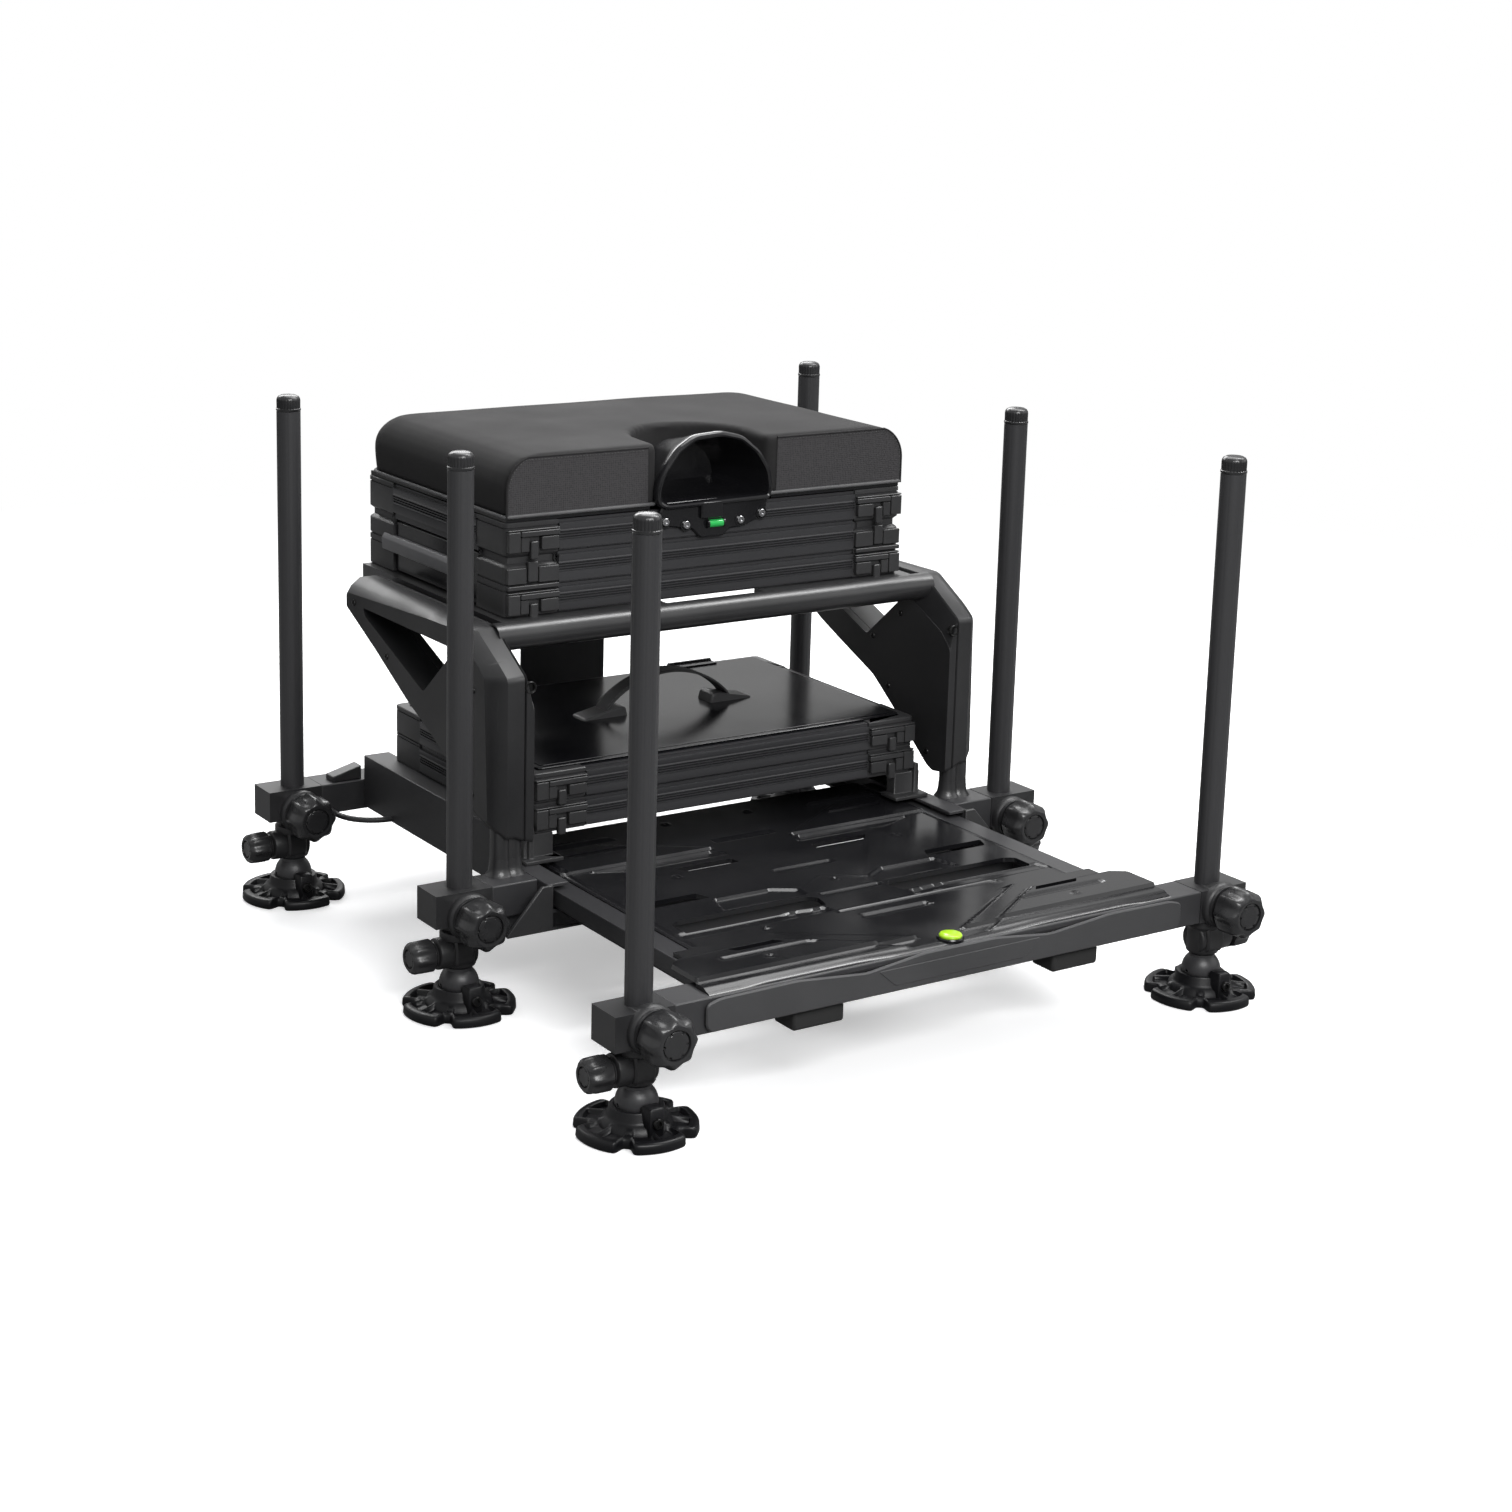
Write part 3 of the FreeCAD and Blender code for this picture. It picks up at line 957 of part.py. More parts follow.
def hood_shape():
    """A funnel whose mouth faces the angler, with a screw flange down the front of the seat tray."""
    half, low, high = size("hood_half"), size("hood_low"), size("hood_high")
    wall = size("hood_wall")
    mouth_y = size("hood_front")
    back_y = mouth_y + size("hood_deep")
    narrow = size("hood_narrow")
    floor_rise = 8
    outer = Part.makeLoft([hood_ring(half, low, high, mouth_y, 0),
                           hood_ring(half - narrow, low + floor_rise, high - narrow / 2, back_y, 0)], True, True)
    inner = Part.makeLoft([hood_ring(half, low, high, mouth_y - 0.01, -wall),
                           hood_ring(half - narrow, low + floor_rise, high - narrow / 2, back_y - wall, -wall)], True, True)
    flange_low = size("tray_line") + 4
    face_y = size("top_front") - 3.5
    seat_y = size("top_front") + size("panel_inset")
    flange = Part.makeBox(2 * half * 0.9, seat_y - face_y, low + wall - flange_low, V(-half * 0.9, face_y, flange_low))
    tab = Part.makeBox(34, seat_y - face_y, 8, V(-17, face_y, flange_low - 4))
    groove = Part.makeCylinder(size("level_rod") / 2 + 0.05, 20, V(-10, face_y - 1, low - 20), V(1, 0, 0))
    return outer.fuse([flange, tab]).cut([inner, groove]).removeSplitter()


hood = doc.addObject("Part::Feature", "pole_hood")
hood.Shape = hood_shape()
hood.Placement = FreeCAD.Placement(V(0, 0, 0), FreeCAD.Rotation())
node(hood, "pole_hood")

hood_face = "top_front - 3.5"
level_tube = rod("level_tube", ("-9", f"{hood_face} - 1", "hood_low - 20"), "level_rod / 2", "18", V(1, 0, 0))
node(level_tube, "hood_level")

# Hood screws: four socket-head screws through the hood's flange.
screws = []
for k, (x, z) in enumerate((("-59", "-14"), ("-34", "-19"), ("32", "-19"), ("58", "-14"))):
    head = rod(f"hood_screw_head_{k}", (x, f"{hood_face} - 3", f"hood_low + {z}"), "4", "3", V(0, 1, 0))
    screws.append(head)
node(group("hood_screws", screws), "hood_screws")


# Latch plates: hooked clips on the front corners of each unit.
def latches(name, half, front, low, high):
    plates = []
    for side_name, side in SIDES:
        middle = f"({half} - corner_wide / 2)"
        plates.append(side_box(f"{name}_{side_name}", side, (f"{middle} - latch_wide / 2", f"{middle} + latch_wide / 2"),
                               (f"{front} - latch_thick", front), (f"{low} + 5", f"{high} - 5")))
    return plates


node(group("latch_plates", latches("latch_low_a", "low_half", "low_front", "low_z", low_mid)
           + latches("latch_low_b", "low_half", "low_front", low_mid, "low_top")
           + latches("latch_deep", "top_half", "top_front", "top_low", "tray_line")
           + latches("latch_seat", "top_half", "top_front", "tray_line", "top_high")), "latch_plates")

doc.recompute()

# Every feature is sound before anything is written.
for thing in doc.Objects:
    bad = [state for state in thing.State if state in ("Invalid", "Error")]
    if bad:
        raise RuntimeError(f"{thing.Name} is {bad}")
for thing in NODES:
    if thing.Shape.isNull() or not thing.Shape.isValid() or not thing.Shape.Solids:
        raise RuntimeError(f"{thing.Label} has no sound shape")

os.makedirs("parts", exist_ok=True)
for thing in NODES:
    thing.Shape.exportStep(f"parts/{thing.Label}.step")
    bounds = thing.Shape.BoundBox
    print(f"{thing.Label:24s} solids {len(thing.Shape.Solids):2d} faces {len(thing.Shape.Faces):3d} "
          f"volume {thing.Shape.Volume / 1000:9.1f} cm3  x {bounds.XMin:7.1f} {bounds.XMax:7.1f}  "
          f"y {bounds.YMin:7.1f} {bounds.YMax:7.1f}  z {bounds.ZMin:7.1f} {bounds.ZMax:7.1f}")
print(len(NODES), "nodes")
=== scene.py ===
# %% [markdown]
# # Fishing seat box
# A seat box is a padded seat on tackle trays, held over the bank by six telescopic legs. The
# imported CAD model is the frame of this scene: its rigid parts are shown as they are where their
# shape is enough, and a more detailed piece stands for a part wherever the eye needs more.

# %% Load the frame
import json
import math

import bpy
import numpy as np
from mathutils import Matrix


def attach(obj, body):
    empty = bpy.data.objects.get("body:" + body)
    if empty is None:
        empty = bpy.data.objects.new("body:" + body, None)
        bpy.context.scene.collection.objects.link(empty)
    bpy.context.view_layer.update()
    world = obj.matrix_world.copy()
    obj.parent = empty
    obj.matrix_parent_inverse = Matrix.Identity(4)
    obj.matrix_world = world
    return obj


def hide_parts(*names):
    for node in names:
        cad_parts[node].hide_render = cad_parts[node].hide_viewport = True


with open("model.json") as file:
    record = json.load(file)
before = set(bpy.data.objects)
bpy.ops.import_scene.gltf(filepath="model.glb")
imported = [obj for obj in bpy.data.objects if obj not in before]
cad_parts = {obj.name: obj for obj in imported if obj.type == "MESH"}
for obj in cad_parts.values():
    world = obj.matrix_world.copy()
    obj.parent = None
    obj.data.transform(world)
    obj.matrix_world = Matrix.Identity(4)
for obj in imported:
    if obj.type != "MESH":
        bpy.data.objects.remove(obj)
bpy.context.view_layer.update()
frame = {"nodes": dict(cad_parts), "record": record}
NODES = frame["nodes"]
RECORD = frame["record"]
SIDES = (("left", -1), ("right", 1))


# %% [markdown]
# ## The camera
# The photograph was fitted from the legs and box edges: a long lens a little above the seat,
# looking down by 12.5 degrees from the front left. The picture's middle is below the lens axis, as
# when a studio photograph is cropped, so the camera is shifted and not tilted.

# %% Camera
YAW, PITCH, ROLL = np.radians([-34.1, 12.5, 1.6])
PHOTO_WIDE = 1512
FOCAL_PIXELS = 2698.0
AXIS_ABOVE_MIDDLE = 166.0
AIM = np.array([0.2113, 0.2849, 0.300])
DISTANCE = 3.0986
SENSOR = 36.0

back = np.array([math.sin(YAW) * math.cos(PITCH), -math.cos(YAW) * math.cos(PITCH), math.sin(PITCH)])
level_right = np.cross(-back, (0, 0, 1))
level_right /= np.linalg.norm(level_right)
level_up = np.cross(level_right, -back)
right = math.cos(ROLL) * level_right + math.sin(ROLL) * level_up
up = -math.sin(ROLL) * level_right + math.cos(ROLL) * level_up

camera = bpy.data.objects.new("camera", bpy.data.cameras.new("camera"))
bpy.context.scene.collection.objects.link(camera)
pose = np.eye(4)
pose[:3] = np.stack([right, up, back, AIM + back * DISTANCE], 1)
camera.matrix_world = pose.T
camera.data.sensor_width = SENSOR
camera.data.lens = FOCAL_PIXELS / PHOTO_WIDE * SENSOR
camera.data.shift_y = -AXIS_ABOVE_MIDDLE / PHOTO_WIDE
camera.data.clip_end = 100.0
bpy.context.scene.camera = camera
bpy.context.scene.view_settings.view_transform = "Standard"
print("camera at", pose[:3, 3].round(3))

# %% [markdown]
# ## Studio floor
# The box stands on a plain white floor that fills the picture. The real one was lit in a darker room
# and cut out on white, so the floor is white for the camera only, and mid grey for everything that it
# lights or is reflected in. A few helpers join the shader nodes, here and in every finish.

# %% Node helpers
def nodes_of(name):
    """A new material with an empty node tree, and its output node."""
    material = bpy.data.materials.new(name)
    material.use_nodes = True
    tree = material.node_tree
    tree.nodes.clear()
    return material, tree, tree.nodes.new("ShaderNodeOutputMaterial")


def maths(tree, operation, first, second):
    """The result of a maths node on a socket and a second socket or number."""
    node = tree.nodes.new("ShaderNodeMath")
    node.operation = operation
    tree.links.new(first, node.inputs[0])
    if isinstance(second, float):
        node.inputs[1].default_value = second
    else:
        tree.links.new(second, node.inputs[1])
    return node.outputs[0]


def remap(tree, value, old, new):
    """A socket's value carried in a straight line from an old range to a new one."""
    node = tree.nodes.new("ShaderNodeMapRange")
    node.inputs["From Min"].default_value, node.inputs["From Max"].default_value = old
    node.inputs["To Min"].default_value, node.inputs["To Max"].default_value = new
    tree.links.new(value, node.inputs["Value"])
    return node.outputs["Result"]


def two_tones(tree, value, dark, light, places):
    """A colour ramp over a socket's value: dark up to the first place, light from the second."""
    node = tree.nodes.new("ShaderNodeValToRGB")
    first, second = node.color_ramp.elements
    first.position, second.position = places
    first.color, second.color = (*dark, 1), (*light, 1)
    tree.links.new(value, node.inputs["Fac"])
    return node.outputs["Color"]


# %% Floor
FLOOR_SEEN, FLOOR_UNSEEN = (0.88, 0.88, 0.885, 1), (0.22, 0.22, 0.22, 1)
FLOOR_GLOW = 0.42
FADE_METRES = (1.3, 2.6)


def floor_finish():
    """Glowing white paper for the camera that fades to plain white far away, and mid grey for other rays."""
    material, tree, output = nodes_of("studio_floor")
    make, join = tree.nodes.new, tree.links.new
    seen = make("ShaderNodeLightPath").outputs["Is Camera Ray"]
    tint = make("ShaderNodeMix")
    tint.data_type = "RGBA"
    tint.inputs["A"].default_value = FLOOR_UNSEEN
    tint.inputs["B"].default_value = FLOOR_SEEN
    join(seen, tint.inputs["Factor"])
    paper = make("ShaderNodeBsdfDiffuse")
    join(tint.outputs["Result"], paper.inputs["Color"])
    glow = make("ShaderNodeEmission")
    join(maths(tree, "MULTIPLY", seen, FLOOR_GLOW), glow.inputs["Strength"])
    both = make("ShaderNodeAddShader")
    join(paper.outputs[0], both.inputs[0])
    join(glow.outputs[0], both.inputs[1])
    ring = make("ShaderNodeVectorMath")
    ring.operation = "LENGTH"
    join(make("ShaderNodeTexCoord").outputs["Object"], ring.inputs[0])
    far = remap(tree, ring.outputs["Value"], FADE_METRES, (0, 1))
    fade = make("ShaderNodeMixShader")
    join(maths(tree, "MULTIPLY", far, seen), fade.inputs["Fac"])
    join(both.outputs[0], fade.inputs[1])
    join(make("ShaderNodeEmission").outputs[0], fade.inputs[2])
    join(fade.outputs[0], output.inputs["Surface"])
    return material


floor_mesh = bpy.data.meshes.new("studio_floor")
floor_mesh.from_pydata([(-30, -30, 0), (30, -30, 0), (30, 60, 0), (-30, 60, 0)], [], [(0, 1, 2, 3)])
floor_mesh.materials.append(floor_finish())
floor = bpy.data.objects.new("studio_floor", floor_mesh)
bpy.context.scene.collection.objects.link(floor)
print("floor", floor.dimensions.xy)

# %% [markdown]
# ## World and lights
# Black paint shows what it mirrors, so the world has three faces: white for the camera, a backdrop
# that is dim near the horizon for reflections, and a plain weak light for matt surfaces. A wide soft
# light hangs overhead, with a smaller one in front, a faint one on the right, a narrow one that draws
# the line along the front tube, and a strip behind for the bright edges on the glossy footplate.

# %% World
WORLD_LIGHT = 0.27
HORIZON, BACKDROP = (0.06, 0.2), (0.12, 0.62)


def studio_world():
    """A light path picks the face of the world, and the backdrop brightens with the height of the ray."""
    world = bpy.data.worlds.new("studio")
    world.use_nodes = True
    tree = world.node_tree
    make, join = tree.nodes.new, tree.links.new
    plain = tree.nodes["Background"]
    plain.inputs["Color"].default_value = (0.95, 0.97, 1.0, 1)
    plain.inputs["Strength"].default_value = WORLD_LIGHT
    heading = make("ShaderNodeSeparateXYZ")
    join(make("ShaderNodeTexCoord").outputs["Generated"], heading.inputs["Vector"])
    rise = remap(tree, heading.outputs["Z"], HORIZON, BACKDROP)
    path = make("ShaderNodeLightPath")
    seen = make("ShaderNodeBackground")
    seen.inputs["Color"].default_value = (1, 1, 1, 1)
    join(maths(tree, "MAXIMUM", path.outputs["Is Camera Ray"], rise), seen.inputs["Strength"])
    diffuse = make("ShaderNodeMixShader")
    join(path.outputs["Is Diffuse Ray"], diffuse.inputs["Fac"])
    join(seen.outputs[0], diffuse.inputs[1])
    join(plain.outputs[0], diffuse.inputs[2])
    join(diffuse.outputs[0], tree.nodes["World Output"].inputs["Surface"])
    return world


bpy.context.scene.world = studio_world()
print("world", bpy.context.scene.world.name)

# %% Lights
def softbox(name, place, target, wide, tall, watts):
    """A rectangular area lamp at a place, facing a target."""
    lamp = bpy.data.lights.new(name, "AREA")
    lamp.shape = "RECTANGLE"
    lamp.size, lamp.size_y, lamp.energy = wide, tall, watts
    holder = bpy.data.objects.new(name, lamp)
    bpy.context.scene.collection.objects.link(holder)
    away = np.array(place, float) - np.array(target, float)
    away /= np.linalg.norm(away)
    side = np.cross((0, 0, 1), away)
    side /= np.linalg.norm(side)
    turn = np.eye(4)
    turn[:3, 0], turn[:3, 1], turn[:3, 2], turn[:3, 3] = side, np.cross(away, side), away, place
    holder.matrix_world = turn.T
    return holder


# Name, place, target, width, height and watts of each lamp.
LAMPS = (("front_light", (-0.5, -2.2, 1.7), (0, 0, 0.3), 1.4, 0.9, 52),
         ("top_light", (0.8, 0.5, 2.8), (0, 0.1, 0.3), 2.8, 2.0, 76),
         ("right_light", (2.6, -1.6, 1.4), (0, 0, 0.3), 2.0, 1.4, 9),
         ("tube_light", (1.45, -0.35, 2.4), (0, 0.03, 0.35), 0.4, 1.6, 26),
         ("back_strip", (0.6, 2.6, 2.0), (0, 0.1, 0.3), 2.8, 0.8, 55))
for lamp in LAMPS:
    softbox(*lamp)
print("lamps", len(LAMPS))

# %% [markdown]
# ## Hard finishes
# Everything on the box is black, so the finishes must differ by how they scatter light: anodised
# tube, powder coat, moulded plastic with a fine grain, glossy panels, knobs and rubber. One helper
# mixes two close tones with noise, varies the gloss with the same noise and raises a fine grain, all
# on object coordinates so that the pattern stays on the piece.

# %% Finish helper
PATCH_SCALE = 14.0
GRAIN_STRENGTH = 0.6


def finish(name, dark, light, gloss, grain, depth, metallic=0.0, specular=0.5, stretch=(1, 1, 1)):
    """Noise picks a tone between two colours and a roughness in the gloss range; a fine noise is the grain."""
    material, tree, output = nodes_of(name)
    make, join = tree.nodes.new, tree.links.new
    shader = make("ShaderNodeBsdfPrincipled")
    shader.inputs["Metallic"].default_value = metallic
    shader.inputs["Specular IOR Level"].default_value = specular
    lay = make("ShaderNodeMapping")
    lay.inputs["Scale"].default_value = stretch
    join(make("ShaderNodeTexCoord").outputs["Object"], lay.inputs["Vector"])
    patches, fine = make("ShaderNodeTexNoise"), make("ShaderNodeTexNoise")
    for noise, scale, detail in ((patches, PATCH_SCALE, 5), (fine, grain, 2)):
        noise.inputs["Scale"].default_value = scale
        noise.inputs["Detail"].default_value = detail
        join(lay.outputs["Vector"], noise.inputs["Vector"])
    join(two_tones(tree, patches.outputs["Fac"], dark, light, (0.35, 0.68)), shader.inputs["Base Color"])
    join(remap(tree, patches.outputs["Fac"], (0.3, 0.7), gloss), shader.inputs["Roughness"])
    bump = make("ShaderNodeBump")
    bump.inputs["Strength"].default_value = GRAIN_STRENGTH
    bump.inputs["Distance"].default_value = depth
    join(fine.outputs["Fac"], bump.inputs["Height"])
    join(bump.outputs["Normal"], shader.inputs["Normal"])
    join(shader.outputs["BSDF"], output.inputs["Surface"])
    print("finish", name)
    return material


# %% Metal, paint and plastic
leg_anodised = finish("leg_anodised", (0.034, 0.034, 0.036), (0.044, 0.044, 0.046),
                      (0.34, 0.46), 700, 0.00002, metallic=0.1, stretch=(1, 1, 0.03))
powder_coat = finish("powder_coat", (0.028, 0.028, 0.030), (0.036, 0.036, 0.038),
                     (0.42, 0.55), 1400, 0.00004)
cast_black = finish("cast_black", (0.015, 0.015, 0.016), (0.023, 0.023, 0.024), (0.36, 0.48), 1100, 0.00005)
tray_extrusion = finish("tray_extrusion", (0.034, 0.034, 0.036), (0.044, 0.044, 0.047),
                        (0.26, 0.38), 900, 0.00002, metallic=0.15, stretch=(0.04, 0.04, 1))
moulded_satin = finish("moulded_satin", (0.026, 0.026, 0.027), (0.034, 0.034, 0.035),
                       (0.36, 0.48), 1500, 0.00004)
cover_satin = finish("cover_satin", (0.014, 0.014, 0.015), (0.019, 0.019, 0.020),
                     (0.38, 0.5), 1800, 0.00003)
knob_gloss = finish("knob_gloss", (0.016, 0.016, 0.017), (0.024, 0.024, 0.025), (0.22, 0.34), 900, 0.00002)
deck_gloss = finish("deck_gloss", (0.006, 0.006, 0.007), (0.009, 0.009, 0.010), (0.14, 0.26), 500, 0.00002)
lid_gloss = finish("lid_gloss", (0.004, 0.004, 0.005), (0.006, 0.006, 0.007), (0.15, 0.2), 1600, 0.00003)
foot_moulding = finish("foot_moulding", (0.005, 0.005, 0.006), (0.010, 0.010, 0.011),
                       (0.32, 0.46), 800, 0.00006, specular=0.26)
tube_paint = finish("tube_paint", (0.018, 0.018, 0.019), (0.024, 0.024, 0.025),
                    (0.3, 0.36), 1400, 0.00003, specular=0.7)
pull_grey = finish("pull_grey", (0.11, 0.11, 0.115), (0.14, 0.14, 0.145), (0.38, 0.5), 1200, 0.00003)
screw_steel = finish("screw_steel", (0.45, 0.45, 0.46), (0.6, 0.6, 0.61),
                     (0.18, 0.3), 1500, 0.00002, metallic=1.0)
level_lime = finish("level_lime", (0.35, 0.62, 0.02), (0.45, 0.75, 0.03), (0.08, 0.14), 300, 0.00001)
level_green = finish("level_green", (0.02, 0.42, 0.08), (0.03, 0.5, 0.1), (0.08, 0.14), 300, 0.00001)
bolt_black = finish("bolt_black", (0.02, 0.02, 0.02), (0.03, 0.03, 0.03),
                    (0.25, 0.35), 900, 0.00002, metallic=0.8)
fascia_satin = finish("fascia_satin", (0.045, 0.045, 0.047), (0.055, 0.055, 0.057),
                      (0.45, 0.58), 1600, 0.00003)

# %% [markdown]
# ## Cloth, rubber and thread
# Rubber, webbing and the seat's plain cloth are dull finishes with a coarser grain. The front panels
# of the seat are an open mesh, so that cloth is a pattern of small cells, dark in their middles.

# %% Soft finishes
rubber_black = finish("rubber_black", (0.012, 0.012, 0.012), (0.020, 0.020, 0.020),
                      (0.62, 0.8), 600, 0.00008)
seat_cloth = finish("seat_cloth", (0.013, 0.0125, 0.013), (0.018, 0.0175, 0.018),
                    (0.8, 0.92), 2200, 0.0001, specular=0.3)
piping_grey = finish("piping_grey", (0.07, 0.07, 0.072), (0.10, 0.10, 0.102), (0.6, 0.75), 2600, 0.0001)
webbing_weave = finish("webbing_weave", (0.016, 0.016, 0.017), (0.03, 0.03, 0.031),
                       (0.7, 0.85), 1800, 0.0002)
thread_black = finish("thread_black", (0.04, 0.04, 0.04), (0.06, 0.06, 0.06), (0.6, 0.7), 2500, 0.00005)


def woven(name, dark, light, cell):
    """A mesh cloth: the distance from the middle of the nearest cell gives its tone and its height."""
    material, tree, output = nodes_of(name)
    make, join = tree.nodes.new, tree.links.new
    shader = make("ShaderNodeBsdfPrincipled")
    shader.inputs["Roughness"].default_value = 0.72
    cells = make("ShaderNodeTexVoronoi")
    cells.inputs["Scale"].default_value = 1 / cell
    cells.inputs["Randomness"].default_value = 0.2
    join(make("ShaderNodeTexCoord").outputs["Object"], cells.inputs["Vector"])
    far = cells.outputs["Distance"]
    join(two_tones(tree, far, dark, light, (0.2, 0.6)), shader.inputs["Base Color"])
    bump = make("ShaderNodeBump")
    bump.inputs["Distance"].default_value = 0.0003
    join(far, bump.inputs["Height"])
    join(bump.outputs["Normal"], shader.inputs["Normal"])
    join(shader.outputs["BSDF"], output.inputs["Surface"])
    print("finish", name)
    return material


mesh_weave = woven("mesh_weave", (0.005, 0.005, 0.006), (0.036, 0.034, 0.036), 0.0021)

# %% Finishes on the CAD nodes
SLOT_FINISH = {
    "leg_tube": leg_anodised, "inner_tube": leg_anodised, "foot_plastic": foot_moulding,
    "knob_plastic": knob_gloss, "casting": cast_black, "frame_paint": powder_coat,
    "frame_plastic": moulded_satin, "cover_plastic": cover_satin, "anodised": tray_extrusion,
    "deck_plastic": deck_gloss, "level_fluid": level_lime, "rubber": rubber_black,
    "corner_plastic": moulded_satin, "lid_plastic": lid_gloss, "webbing": rubber_black,
    "drawer_plastic": moulded_satin, "seat_cloth": seat_cloth, "screw_steel": screw_steel,
}
for part in RECORD["subparts"]:
    shown = NODES[part["node"]]
    shown.data.materials.clear()
    shown.data.materials.append(SLOT_FINISH[part["material_slot"]])
for node in ("seat_cross_tubes", "seat_posts"):
    NODES[node].data.materials[0] = tube_paint
print(len(NODES), "CAD nodes finished")

# %% [markdown]
# ## Shapes from arrays
# Each new piece is a surface worked out as whole arrays: rings of points joined by a skin, which is
# how a tube, a moulding or an extrusion is thought of. Lengths are in millimetres until the mesh is
# made. A form is a list of points, its four-sided faces and its flat end caps.

# %% Skins
def unit(vectors):
    """Each vector over its own length."""
    return vectors / np.maximum(np.linalg.norm(vectors, axis=-1, keepdims=True), 1e-9)


def skin(grid, around=True):
    """Four-sided faces between neighbouring points of a (rows, columns, 3) grid, closed round its columns."""
    grid = np.asarray(grid, float)
    rows, columns = grid.shape[:2]
    i, j = np.meshgrid(np.arange(rows - 1), np.arange(columns if around else columns - 1), indexing="ij")
    k = (j + 1) % columns
    faces = np.stack([i * columns + j, i * columns + k, (i + 1) * columns + k, (i + 1) * columns + j], -1)
    return grid.reshape(-1, 3), faces.reshape(-1, 4), []


def stack(rings):
    """A skin over closed rings of equal length, with a flat cap on the first and the last."""
    points, faces, caps = skin(rings)
    columns = np.asarray(rings).shape[1]
    return points, faces, [np.arange(columns)[::-1], np.arange(columns) + len(points) - columns]


def lift(outline, level, axis="z"):
    """A flat outline at a level along an axis: across z it holds (x, y), across y (x, z), across x (y, z)."""
    a, b = outline[..., 0], outline[..., 1]
    c = np.zeros_like(a) + level
    return np.stack({"z": (a, b, c), "y": (a, c, b), "x": (c, a, b)}[axis], -1)


# %% Outlines
def circle(radius, points):
    """Points round a circle: the radius times the cosine and the sine of equal steps of angle."""
    angle = np.linspace(0, 2 * np.pi, points, endpoint=False)
    return radius * np.stack([np.cos(angle), np.sin(angle)], -1)


def inset(outline, d):
    """Every side of a closed outline moved inwards by d, meeting in mitres: d times (n0 + n1) / (1 + n0.n1)."""
    before, after = np.roll(outline, 1, 0), np.roll(outline, -1, 0)
    turning = np.sign(np.sum(before[:, 0] * outline[:, 1] - outline[:, 0] * before[:, 1]))
    e0, e1 = unit(outline - before), unit(after - outline)
    n0, n1 = (turning * np.stack([-e[:, 1], e[:, 0]], -1) for e in (e0, e1))
    return outline + d * (n0 + n1) / (1 + np.sum(n0 * n1, -1, keepdims=True))


def rounded(corners, radius, steps=6):
    """A closed outline with its corners as quadratic curves over a reach, but under half of a side."""
    p = np.asarray(corners, float)
    side = np.linalg.norm(np.roll(p, -1, 0) - p, axis=1)
    reach = np.minimum(np.zeros(len(p)) + radius, 0.47 * np.minimum(side, np.roll(side, 1)))[:, None]
    a, b = p + reach * unit(np.roll(p, 1, 0) - p), p + reach * unit(np.roll(p, -1, 0) - p)
    t = np.linspace(0, 1, steps)[None, :, None]
    return ((1 - t) ** 2 * a[:, None] + 2 * t * (1 - t) * p[:, None] + t ** 2 * b[:, None]).reshape(-1, 2)


def oblong(x0, x1, y0, y1, radius=1.0):
    """A rectangle with rounded corners."""
    return rounded([(x0, y0), (x1, y0), (x1, y1), (x0, y1)], radius, 5)


# %% Slabs, lathed forms and sweeps
def slab(outline, low, high, bevel=0.6, axis="z"):
    """An outline carried from low to high along an axis, with both rims cut back by the bevel."""
    small = inset(outline, bevel)
    levels = ((small, low), (outline, low + bevel), (outline, high - bevel), (small, high))
    return stack([lift(shape, level, axis) for shape, level in levels])


def lathe(radii, levels, centre=(0, 0, 0), axis="z", points=64, lobes=1.0):
    """Rings of the given radii at the given levels; lobes scales each ring by angle, as (rings, points)."""
    turn = circle(1.0, points)
    r = np.asarray(radii, float)[:, None] * (np.zeros((len(radii), points)) + lobes)
    rings = lift(r[..., None] * turn, np.asarray(levels, float)[:, None], axis)
    return stack(rings + np.asarray(centre, float))


def sweep(section, path, above=(0, 0, 1)):
    """A closed flat section (across, up) carried along a path of points, kept square to it."""
    path = np.asarray(path, float)
    along = unit(np.gradient(path, axis=0))
    across = unit(np.cross(along, np.asarray(above, float)))
    up_there = np.cross(across, along)
    wide, tall = section[None, :, :1], section[None, :, 1:]
    return stack(path[:, None] + wide * across[:, None] + tall * up_there[:, None])

# %% [markdown]
# ## Objects from forms
# A Blender mesh takes its points, corners and faces as flat arrays, which is quick and exact. Doubled
# points are merged afterwards and the normals turned outwards. Each object is parented to the body that
# it moves with, and the CAD nodes that it stands for are hidden.

# %% One mesh from its forms
import bmesh


def mesh_from(name, parts):
    """One mesh from (form, finish) pairs: points in metres, a material for each form, normals outwards."""
    finishes = list(dict.fromkeys(material for form, material in parts))
    points, loops, sizes, marks, count = [], [], [], [], 0
    for (spots, faces, caps), material in parts:
        points.append(np.asarray(spots) * 0.001)
        loops += [np.asarray(faces).ravel() + count] + [np.asarray(c) + count for c in caps]
        sizes += [np.full(len(faces), 4)] + [np.array([len(c)]) for c in caps]
        marks.append(np.full(len(faces) + len(caps), finishes.index(material)))
        count += len(spots)
    loops, sizes = np.concatenate(loops).astype(np.int32), np.concatenate(sizes).astype(np.int32)
    mesh = bpy.data.meshes.new(name)
    mesh.vertices.add(count)
    mesh.vertices.foreach_set("co", np.concatenate(points).ravel())
    mesh.loops.add(len(loops))
    mesh.loops.foreach_set("vertex_index", loops)
    mesh.polygons.add(len(sizes))
    mesh.polygons.foreach_set("loop_start", np.cumsum(sizes) - sizes)
    mesh.polygons.foreach_set("loop_total", sizes)
    mesh.polygons.foreach_set("material_index", np.concatenate(marks).astype(np.int32))
    mesh.update(calc_edges=True)
    for material in finishes:
        mesh.materials.append(material)
    return mesh


